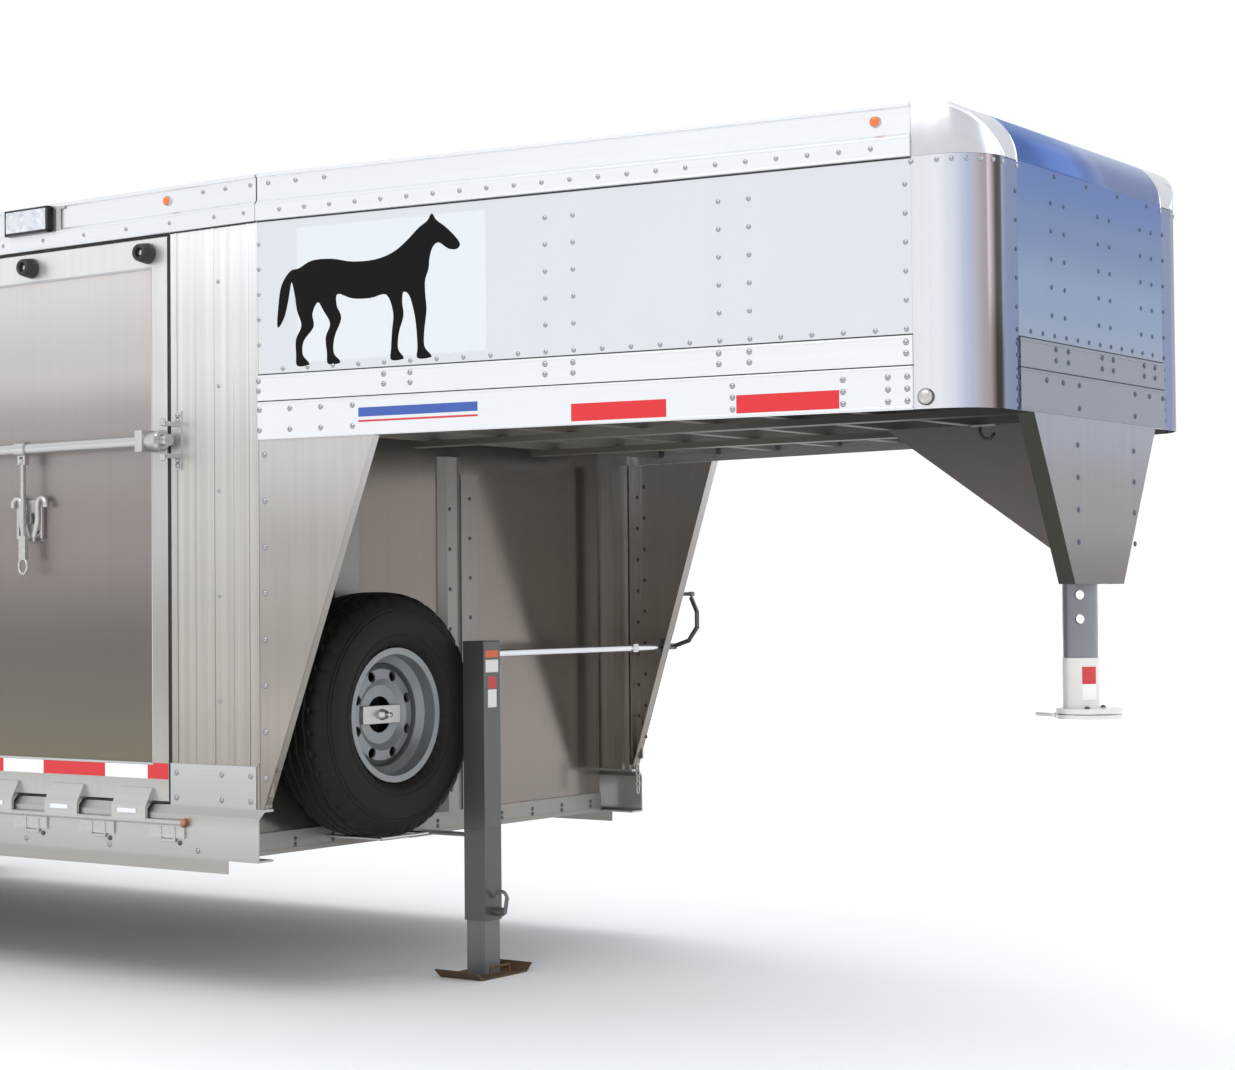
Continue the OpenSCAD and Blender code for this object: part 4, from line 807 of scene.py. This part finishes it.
def smooth_line(points, steps=4):
    return eased(points[:1] + points + points[-1:], steps) + [points[-1]]


def flat_shape(name, loop, s0, z0, su, zu, out, side, mat):
    """A flat outline on a nose side, scaled from its own field."""
    pts = [nose_point(s0 + u * su, out, z0 + v * zu, side) for u, v in loop]
    tris = tessellate_polygon([[Vector((u, v, 0)) for u, v in loop]])
    return piece(name, pts, [t if side < 0 else t[::-1] for t in tris], mat)


for side, word in SIDES:
    flat_shape("horse_decal_" + word, smooth_loop(HORSE), 60, 1990, 8.2, 6.85, 0.8, side, "decal")
    w = on_nose(side)
    boxes("decal_film_" + word, [((150, -0.5, 2000), (830, 0.4, 2418))], "film", warp=w)
    boxes("name_stripe_" + word, [((378, 4, 1822), (800, STRIP_OUT + 0.5, 1850)),
                                  ((378, 4, 1806), (800, STRIP_OUT + 0.5, 1812))],
          ["blue", "red"], warp=w, which=[0, 1])


# ---- side walls --------------------------------------------------------------

# Raised joints of the upright planks and the horizontal joints of the rear walls.
ribs = [(-357, 3), (-276, 1.2), (-192, 2.4), (-109, 1.2), (-41, 2.6), (-7, 1.6)]
spans = [((x - 3, -HALF - d, 752), (x + 3, -HALF + 0.5, BAND_Z - 4)) for x, d in ribs]
spans += [((x - 3, HALF - 0.5, 752), (x + 3, HALF + 1.6, BAND_Z - 4))
          for x in range(-1600, 0, 84)]
boxes("plank_joints", spans, "plank", bevel=1.2)
boxes("rear_joints", [((70 - BOX_L, s * HALF - 1.5, z), (-1690, s * HALF + 1.5, z + 7))
                      for z in range(800, 1480, 150) for s in (-1, 1)], "slat", bevel=1.2)
# Painted shadow in the clearance round the ramp door.
boxes("door_gap_shadow", [((RAMP_X1 + 1, -HALF - 0.6, 620), (RAMP_X1 + 12, -HALF + 30, BAND_Z - 6)),
                   ((RAMP_X0 - 12, -HALF - 0.6, 620), (RAMP_X0 - 1, -HALF + 30, BAND_Z - 6))],
      "gap")
# Wall band: lips, and a painted shadow along the groove line under them.
boxes("band_lips", [beside(s, HALF + 2, HALF + o, 66 - BOX_L, -4, BAND_Z + z0, BAND_Z + z1)
                    for s in (-1, 1)
                    for z0, z1, o in ((1, 7, 11), (50, 56, 10.5), (136, 147, 9))],
      "strip", bevel=1.2)
boxes("band_shadow", [beside(s, HALF - 1, HALF + 1.5, 66 - BOX_L, -3, BAND_Z - 5, BAND_Z - 0.5)
                      for s in (-1, 1)], "gap")
# Upright bead where the wall meets the nose.
boxes("kink_bead", [((-4, s * HALF - 2.5, 760), (3, s * HALF + 2.5, BAND_Z - 6)) for s in (-1, 1)],
      "plank", bevel=1.5)

# Ramp: the bead round its panel, and its rubber stops with their bolts.
boxes("panel_bead", [
    ((RAMP_X0 + 60, -1021.5, 741), (RAMP_X1 - 70, -1013, 749)),
    ((RAMP_X0 + 60, -1021.5, 2341), (RAMP_X1 - 70, -1013, 2347)),
    ((RAMP_X1 - 74, -1021, 749), (RAMP_X1 - 69, -1013, 2345)),
    ((RAMP_X0 + 58, -1021, 749), (RAMP_X0 + 63, -1013, 2345))], "rail", body="ramp", bevel=1.0)
XM = (RAMP_X0 + RAMP_X1) / 2
for i, dx in enumerate((-558, 0, 558)):
    bumper = lathe("bumper_%d" % i, (XM + dx, -1020, 2391), RIGHT,
                   [(33, 0), (34, 4), (33.5, 10), (30, 34), (28, 44), (25, 49), (20, 50),
                    (16, 48), (14.5, 40), (14, 31), (0.1, 31)], "rubber", body="ramp")
    lathe("bumper_bolt_%d" % i, (XM + dx, -1020, 2391), RIGHT,
          [(11, 30), (11, 37), (9.5, 39), (0.1, 39.5)], "steel", body="ramp", sides=20)
    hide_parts("ramp_bumpers")

# Load light, from lx0 to lx1 and lz0 to lz1: black housing, clear lens, bracket.
lx0, lx1, lz0, lz1 = XM - 112, XM + 104, BAND_Z + 54, BAND_Z + 141
light = boxes("light_housing", [
    ((x0, -HALF - out, z0), (x1, -HALF - 8, z1)) for x0, x1, z0, z1, out in (
        (lx0, lx1, lz0, lz0 + 9, 30), (lx0, lx1, lz1 - 7, lz1, 30), (lx0, lx0 + 8, lz0, lz1, 30),
        (lx1 - 12, lx1, lz0, lz1, 30), (lx0, lx1, lz0, lz1, 14))], "black", bevel=2.5)
boxes("light_lens", [((lx0 + 7, -HALF - 32, lz0 + 8), (lx1 - 11, -HALF - 15, lz1 - 6))],
      "lens", bevel=5)
boxes("light_bulbs", [((lx0 + 34 + 70 * i, -HALF - 32.5, lz0 + 24),
                       (lx0 + 70 + 70 * i, -HALF - 31, lz1 - 22)) for i in range(2)],
      "chrome", bevel=1.5)
boxes("light_bracket", [((lx1 + 22, -HALF - 12, lz0 + 2), (lx1 + 40, -HALF - 4, lz1 - 4)),
                        ((lx1 + 10, -HALF - 10, lz1 - 14), (lx1 + 60, -HALF - 4, lz1 - 4))],
      "zinc", bevel=1.5)
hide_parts("load_light")


# ---- lamps ------------------------------------------------------------------

def lamp(name, centre, facing, glass, r=14.0, depth=12.0, ring="steel"):
    """A round lamp: a ring round a domed lens."""
    return lathe(name, centre, facing,
                 [(r * 1.15, -4), (r * 1.15, depth * 0.35), (r, depth * 0.5),
                  (r * 0.99, depth * 0.62), (r * 0.9, depth * 0.84), (r * 0.6, depth * 0.97),
                  (0.1, depth)], [ring, glass], which=[0, 0, 1, 1, 1, 1], sides=28)


LZ = BAND_Z + 103
for side, word in SIDES:
    for i, x in enumerate((-392, -BOX_L / 2)):
        marker = lamp("amber_%s_%d" % (word, i), (x, side * (HALF + 2), LZ), (0, side, 0), "amber")
        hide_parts("lamps")
    lamp("amber_%s_nose" % word, nose_point(SEAM - 100, 2, LZ, side), nose_facing(side), "amber")
    lamp("corner_lamp_" + word, nose_point(SEAM + 36, 0, NOSE_Z + 32, side), nose_facing(side),
         "zinc", 20, 16, "rivet_shaded")
    a, b = sorted((side * (HALF - 170), side * (HALF - 72)))
    boxes("tail_lamp_" + word, [((-BOX_L - 16, a + 3, 481), (-BOX_L - 1, b - 3, 575)),
                                ((-BOX_L - 8, a, 478), (-BOX_L, b, 578))],
          ["lens_red", "black"], bevel=3, which=[0, 1])
for i, y in enumerate((-240, 0, 240)):
    lamp("red_rear_%d" % i, (-BOX_L, y, LZ), BACK, "lens_red", depth=14)


# ---- tyres ------------------------------------------------------------------

def tyre(name, centre, axis, body, node):
    """Five zigzag ribs round a rounded section, with shoulder slots and a ribbed sidewall."""
    axis = Vector(axis).normalized()
    a, b = ring_frame(axis)
    across = [-75, -79.5, -97.5, -108, -113.5, -116, -117.5, -116, -112.5, -106, -96, -90, -84, -78]
    radii = [204.5, 221, 230, 244, 253, 268, 295, 322, 345, 366, 383, 390, 394, 397]
    groove = [-64, -59, -54, -49, -27, -22, -17, -12]
    crown = sorted(set(groove + [-71, -42, -34, -6, 0]))
    hs = across + crown
    rs = radii + [TYRE_R - 4.5 * (abs(h) / 71) ** 3 for h in crown]
    hs += [-h for h in hs[::-1][1:]]
    rs += rs[::-1][1:]
    n = 288
    pts, faces = [], []
    for k in range(n):
        t = 2 * math.pi * k / n
        zig = 3.2 * (abs(k % 12 - 6) / 3 - 1)
        d = math.cos(t) * a + math.sin(t) * b
        for h, r in zip(hs, rs):
            m = abs(h)
            deep = 0.0
            if m in (17, 22, 54, 59):
                deep = 8.0
            if 66 < m < 100 and k % 8 in (0, 1):
                deep = 6.0
            if m < 50 and m not in (49, 12, 27) and (k + int(m)) % 12 == 0:
                deep = max(deep, 2.5)
            shift = zig if 8 < m < 70 else 0.0
            pts.append(Vector(centre) + axis * (h + (shift if h < 0 else -shift)) + d * (r - deep))
    w = len(hs)
    for k in range(n):
        j = (k + 1) % n
        for i in range(w - 1):
            faces.append((k * w + i, j * w + i, j * w + i + 1, k * w + i + 1))
        faces.append((k * w + w - 1, j * w + w - 1, j * w, k * w))
    ob = piece(name, pts, faces, "tyre", body, smooth=True)
    for p in ob.data.polygons:
        i = p.index % w
        p.use_smooth = i < 12 or i > w - 14
    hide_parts(node)
    for s in (-1, 1):
        for i, (r, h) in enumerate(((262, 115.2), (340, 113.8), (352, 111))):
            ring = [Vector(centre) + axis * s * h + r * (math.cos(t) * a + math.sin(t) * b)
                    for t in turns(96)]
            tube("%s_line_%d%s" % (name, i, "ab"[s > 0]), ring, 1.6, "tyre", body, sides=6,
                 closed=True)


for w, x, s in (("fr", -4205, -1), ("rr", -5095, -1), ("fl", -4205, 1), ("rl", -5095, 1)):
    tyre("tread_" + w, (x, s * WHEEL_Y, TYRE_R), (0, 1, 0), "wheel_" + w, "tyre_" + w)
    for i, t in enumerate(turns(8)):
        spot = (x + NUT_R * math.cos(t), s * (WHEEL_Y + 40), TYRE_R + NUT_R * math.sin(t))
        lathe("nut_%s_%d" % (w, i), spot, (0, s, 0), [(11, 0), (11, 8), (8, 12), (0.1, 13)],
              "steel", "wheel_" + w, sides=12)
SPARE = (-12.5, -460, 888)
tyre("tread_spare", SPARE, (1, 0, 0), "trailer", "spare_tyre")
sx, sy, sz = SPARE
boxes("spare_plate", [((sx + 26.2, sy - 92, sz - 30), (sx + 31, sy + 92, sz + 30))],
      "zinc", bevel=2)
lathe("spare_nut", (sx + 31, sy, sz), AHEAD,
      [(19, 0), (19, 4), (15, 5), (15, 17), (8, 19), (8, 40), (0.1, 41)], "steel", sides=24)


# ---- hinge, tabs, clips and latch castings ------------------------------------

# The hinge pin's axis, and the spacing of the four leaves along it.
HY, HZ = -1050.0, 565.0
SHIFT = 68.0
STEP = (RAMP_X1 - RAMP_X0) / 4
starts = [RAMP_X0 + i * STEP - SHIFT for i in range(5)]
leaves = [x + STEP / 2 for x in starts[:4]]
boxes("hinge_tabs", [((x + 30, HY - 9, HZ + 22), (x + 116, HY - 5.5, HZ + 38)) for x in leaves],
      "strip", body="ramp", bevel=4)
rivets("leaf_rivets", [((x + dx, -1028, 652), (0, -0.9, 0.4)) for x in leaves for dx in (14, 146)],
       7.5, body="ramp")
clips = []
for x in (start + 54 for start in starts):
    clips += [((x, -1049, 508), (x + 8, -1040, 550)), ((x + 62, -1049, 508), (x + 70, -1040, 550)),
              ((x - 34, -1046.5, 520), (x, -1040, 534)), ((x + 2, -1047, 502), (x + 68, -1040, 512))]
boxes("hinge_clips", clips, "zinc", bevel=2)
rivets("clip_rivets", [((x + 54 + dx, -1042, z), RIGHT) for x in starts
                       for dx, z in ((-20, 527), (84, 500))], 8.0, "rivet_shaded")
lathe("pin_end", (RAMP_X1 + 97, HY, HZ), AHEAD, [(0.1, -1), (15, -1), (15, 2), (9, 2.5), (9, 7),
      (0.1, 8)], "copper", sides=24)

# Cast sleeve, keeper bolts and hooks at each end of the lock bar, whose axis is CY, CZ.
CY, CZ = -1062.0, 1780.0
for i, (x, s) in enumerate(((RAMP_X1 + 10, 1), (RAMP_X0 - 10, -1))):
    lathe("bar_sleeve_%d" % i, (x, CY, CZ), (s, 0, 0),
          [(19.5, -70), (25, -68), (27, -40), (31, -8), (33, 2), (33, 10), (28, 14), (19.5, 15)],
          "zinc", body="cam_bar", sides=32)
rivets("keeper_bolts", [((x, -HALF - 6, CZ + dz), RIGHT) for x in (RAMP_X1 + 48, RAMP_X0 - 48)
                        for dz in (-80, -62, 62, 80)], 10.0, "rivet", 0.7)
hooks = [((x + 2, CY - 30, CZ + dz), (x + 26, CY - 21, CZ + dz + 24))
         for x in (RAMP_X1 + 34, RAMP_X0 - 62) for dz in (-68, 44)]
boxes("keeper_hooks", hooks, "zinc", bevel=4)
# Handle: the hanging loop, and the holder that it hangs in.
tube("handle_loop", [(XM + 20 * math.cos(t), CY - 2, CZ - 392 + 26 * math.sin(t))
                     for t in turns(24)], 4.5, "zinc",
     body="cam_handle", closed=True)
ear = [(80, 196), (78, 176), (62, 164), (44, 172), (38, 200), (40, 236), (32, 268), (20, 296)]
for k in (-1, 1):
    tube("hasp_%d" % (k + 1), [(XM + k * u, -1036, CZ - v) for u, v in smooth_line(ear)],
         9.5, "zinc", body="ramp", sides=14)
boxes("hasp_bridge", [((XM - 30, -1044, CZ - 312), (XM + 30, -1030, CZ - 292))], "zinc",
      body="ramp", bevel=5)
boxes("holder_ribs", [((XM - 72, -1030, CZ - 300), (XM - 60, -1020, CZ - 180)),
                      ((XM + 42, -1030, CZ - 300), (XM + 54, -1020, CZ - 180))],
      "zinc", body="ramp", bevel=2.5)
rivets("holder_bolts", [((XM + dx, -1021.5, CZ - dz), RIGHT) for dx in (-48, 34)
                        for dz in (205, 280)], 8.5, body="ramp", flat=0.7)


# ---- jack, wing and neck details ---------------------------------------------

# Middle of the jack's housing and half its width.
JX, JY, JH = 148.0, -97.0, 44.5
face_x = JX + JH + 0.4
boxes("jack_blocks", [((face_x - 0.6, JY - a, z0), (face_x, JY + b, z1)) for a, b, z0, z1 in (
    (34, 34, 1068, 1092), (34, 34, 1018, 1060), (22, 24, 964, 1004), (22, 24, 900, 960))],
      ["orange", "white", "red"], which=[0, 1, 2, 1])
boxes("jack_weld", [((JX - JH - 1, JY - JH - 1, 488), (JX + JH + 1, JY + JH + 1, 494))],
      "jack", bevel=2)
boxes("jack_cap", [((JX - JH - 1.5, JY - JH - 1.5, 1108), (JX + JH + 1.5, JY + JH + 1.5, 1124))],
      "jack", bevel=4)
lathe("shaft_collar", (JX, JY + JH + 6, 1080), LEFT,
      [(13, 0), (22, 0), (22, 16), (16, 20), (13, 20)], "leg", sides=28)
boxes("shaft_sleeve", [((JX - 16, 780, 1064), (JX + 16, 812, 1096))], "steel", bevel=3)
# Chain that hangs from the left wing's lower end.
px, py, pz = nose_point(40, -8, 640, 1)
for i in range(5):
    ring = []
    for t in turns(16):
        u, v = 8 * math.cos(t), 14 * math.sin(t)
        ring.append((px + (u if i % 2 else 0), py - 26 + (0 if i % 2 else u),
                     pz - 14 - 21 * i + v))
    tube("chain_link_%d" % i, ring, 2.8, "zinc", sides=8, closed=True)
# Skirt line on the bulkhead, and the hook under the nose.
boxes("bulkhead_skirt", [((-131, -960, 466), (-127, 940, 470))], "mill", bevel=1)
tube("nose_hook", [(2010, -60, 1766), (2010, -60, 1742), (2024, -60, 1724), (2044, -60, 1724),
                   (2058, -60, 1740)], 6, "axle", sides=12)
boxes("hook_plate", [((1990, -84, 1760), (2070, -36, 1766))], "mill", bevel=1.5)
# Colour blocks and flange bolts on the coupler head.
cx, cz = 2292.0, 905.0
pts, faces = [], []
for i in range(9):
    t = math.radians(-62 + i * 6)
    for z in (cz + 55, cz + 100, cz + 150):
        pts.append((cx + 54.3 * math.cos(t), 54.3 * math.sin(t), z))
for i in range(0, 24, 3):
    faces += [(i + k, i + k + 3, i + k + 4, i + k + 1) for k in (0, 1)]
piece("head_blocks", pts, faces, ["white", "red"], body="coupler", smooth=True,
      which=[0, 1] * 8)
spots = [((cx + 70 * math.cos(a), 70 * math.sin(a), cz + 31), (0, 0, 1)) for a in (-0.9, 0.9)]
rivets("flange_bolts", spots, 8, "rivet_shaded", 0.8, body="coupler")


# ---- floor, light and camera ----------------------------------------------------

floor = new_material("pale_floor", (0.84, 0.84, 0.84, 1), 0.0, 0.8, spec=0.05)
tree = floor.node_tree
shader = tree.nodes["Principled BSDF"]
where = tree.nodes.new("ShaderNodeTexCoord").outputs["Object"]
# The floor glows with its distance from the middle, so that it meets the backdrop.
away = spread(tree, vector_math(tree, "LENGTH", [(0, where)], "Value"), 7.0, 14.0, 0.0, 0.45)
tree.links.new(away, shader.inputs["Emission Strength"])
shader.inputs["Emission Color"].default_value = (1, 1, 1, 1)
mesh = bpy.data.meshes.new("floor")
mesh.from_pydata([(-60, -60, 0), (60, -60, 0), (60, 60, 0), (-60, 60, 0)], [], [(0, 1, 2, 3)])
mesh.materials.append(floor)
ob = bpy.data.objects.new("floor", mesh)
bpy.context.scene.collection.objects.link(ob)


def lamp_area(name, place_m, aim, size, power, colour=(1, 1, 1)):
    """A soft light, placed in metres and turned to what it lights."""
    light = bpy.data.lights.new(name, "AREA")
    light.shape = "RECTANGLE"
    light.size, light.size_y = size
    light.energy = power
    light.color = colour
    ob = bpy.data.objects.new(name, light)
    bpy.context.scene.collection.objects.link(ob)
    ob.location = place_m
    ob.rotation_euler = (Vector(aim) - Vector(place_m)).to_track_quat("-Z", "Y").to_euler()


lamp_area("key", (3.0, -9.0, 10.0), (0.5, 0, 1.2), (9, 6), 520)
lamp_area("top", (-0.5, 2.5, 11.0), (0.5, -0.3, 0), (7, 5), 420)
lamp_area("front", (9.0, 2.0, 5.0), (2.0, 0, 1.8), (5, 5), 100, (0.75, 0.86, 1.0))

# Plain display curve, so that the bright metal keeps its contrast.
bpy.context.scene.view_settings.view_transform = "Standard"

world = bpy.data.worlds.new("studio")
bpy.context.scene.world = world
world.use_nodes = True
tree = world.node_tree
sky = tree.nodes["Background"]
where = tree.nodes.new("ShaderNodeTexCoord").outputs["Generated"]
height = new_node(tree, "ShaderNodeSeparateXYZ", [(0, where)]).outputs["Z"]
fade = colour_stops(tree, height, [(-0.04, (0.96, 0.96, 0.97, 1)), (1.0, (0.90, 0.94, 1.0, 1))],
                    "LINEAR")
tree.links.new(fade, sky.inputs["Color"])
sky.inputs["Strength"].default_value = 1.06

cam = bpy.data.cameras.new("camera")
cam.lens = 69.9
cam.sensor_width = 36.0
cam_ob = bpy.data.objects.new("camera", cam)
bpy.context.scene.collection.objects.link(cam_ob)
bpy.context.scene.camera = cam_ob
yaw, pitch, roll = (math.radians(v) for v in (35.4, 1.5, -0.5))
ahead = Vector((-math.sin(yaw) * math.cos(pitch), math.cos(yaw) * math.cos(pitch), math.sin(pitch)))
right = ahead.cross(Vector((0, 0, 1))).normalized()
up = right.cross(ahead)
rolled_right = right * math.cos(roll) + up * math.sin(roll)
rolled_up = up * math.cos(roll) - right * math.sin(roll)
turn = Matrix((rolled_right, rolled_up, -ahead)).transposed()
cam_ob.matrix_world = Matrix.Translation((7.7219, -6.4490, 1.2651)) @ turn.to_4x4()
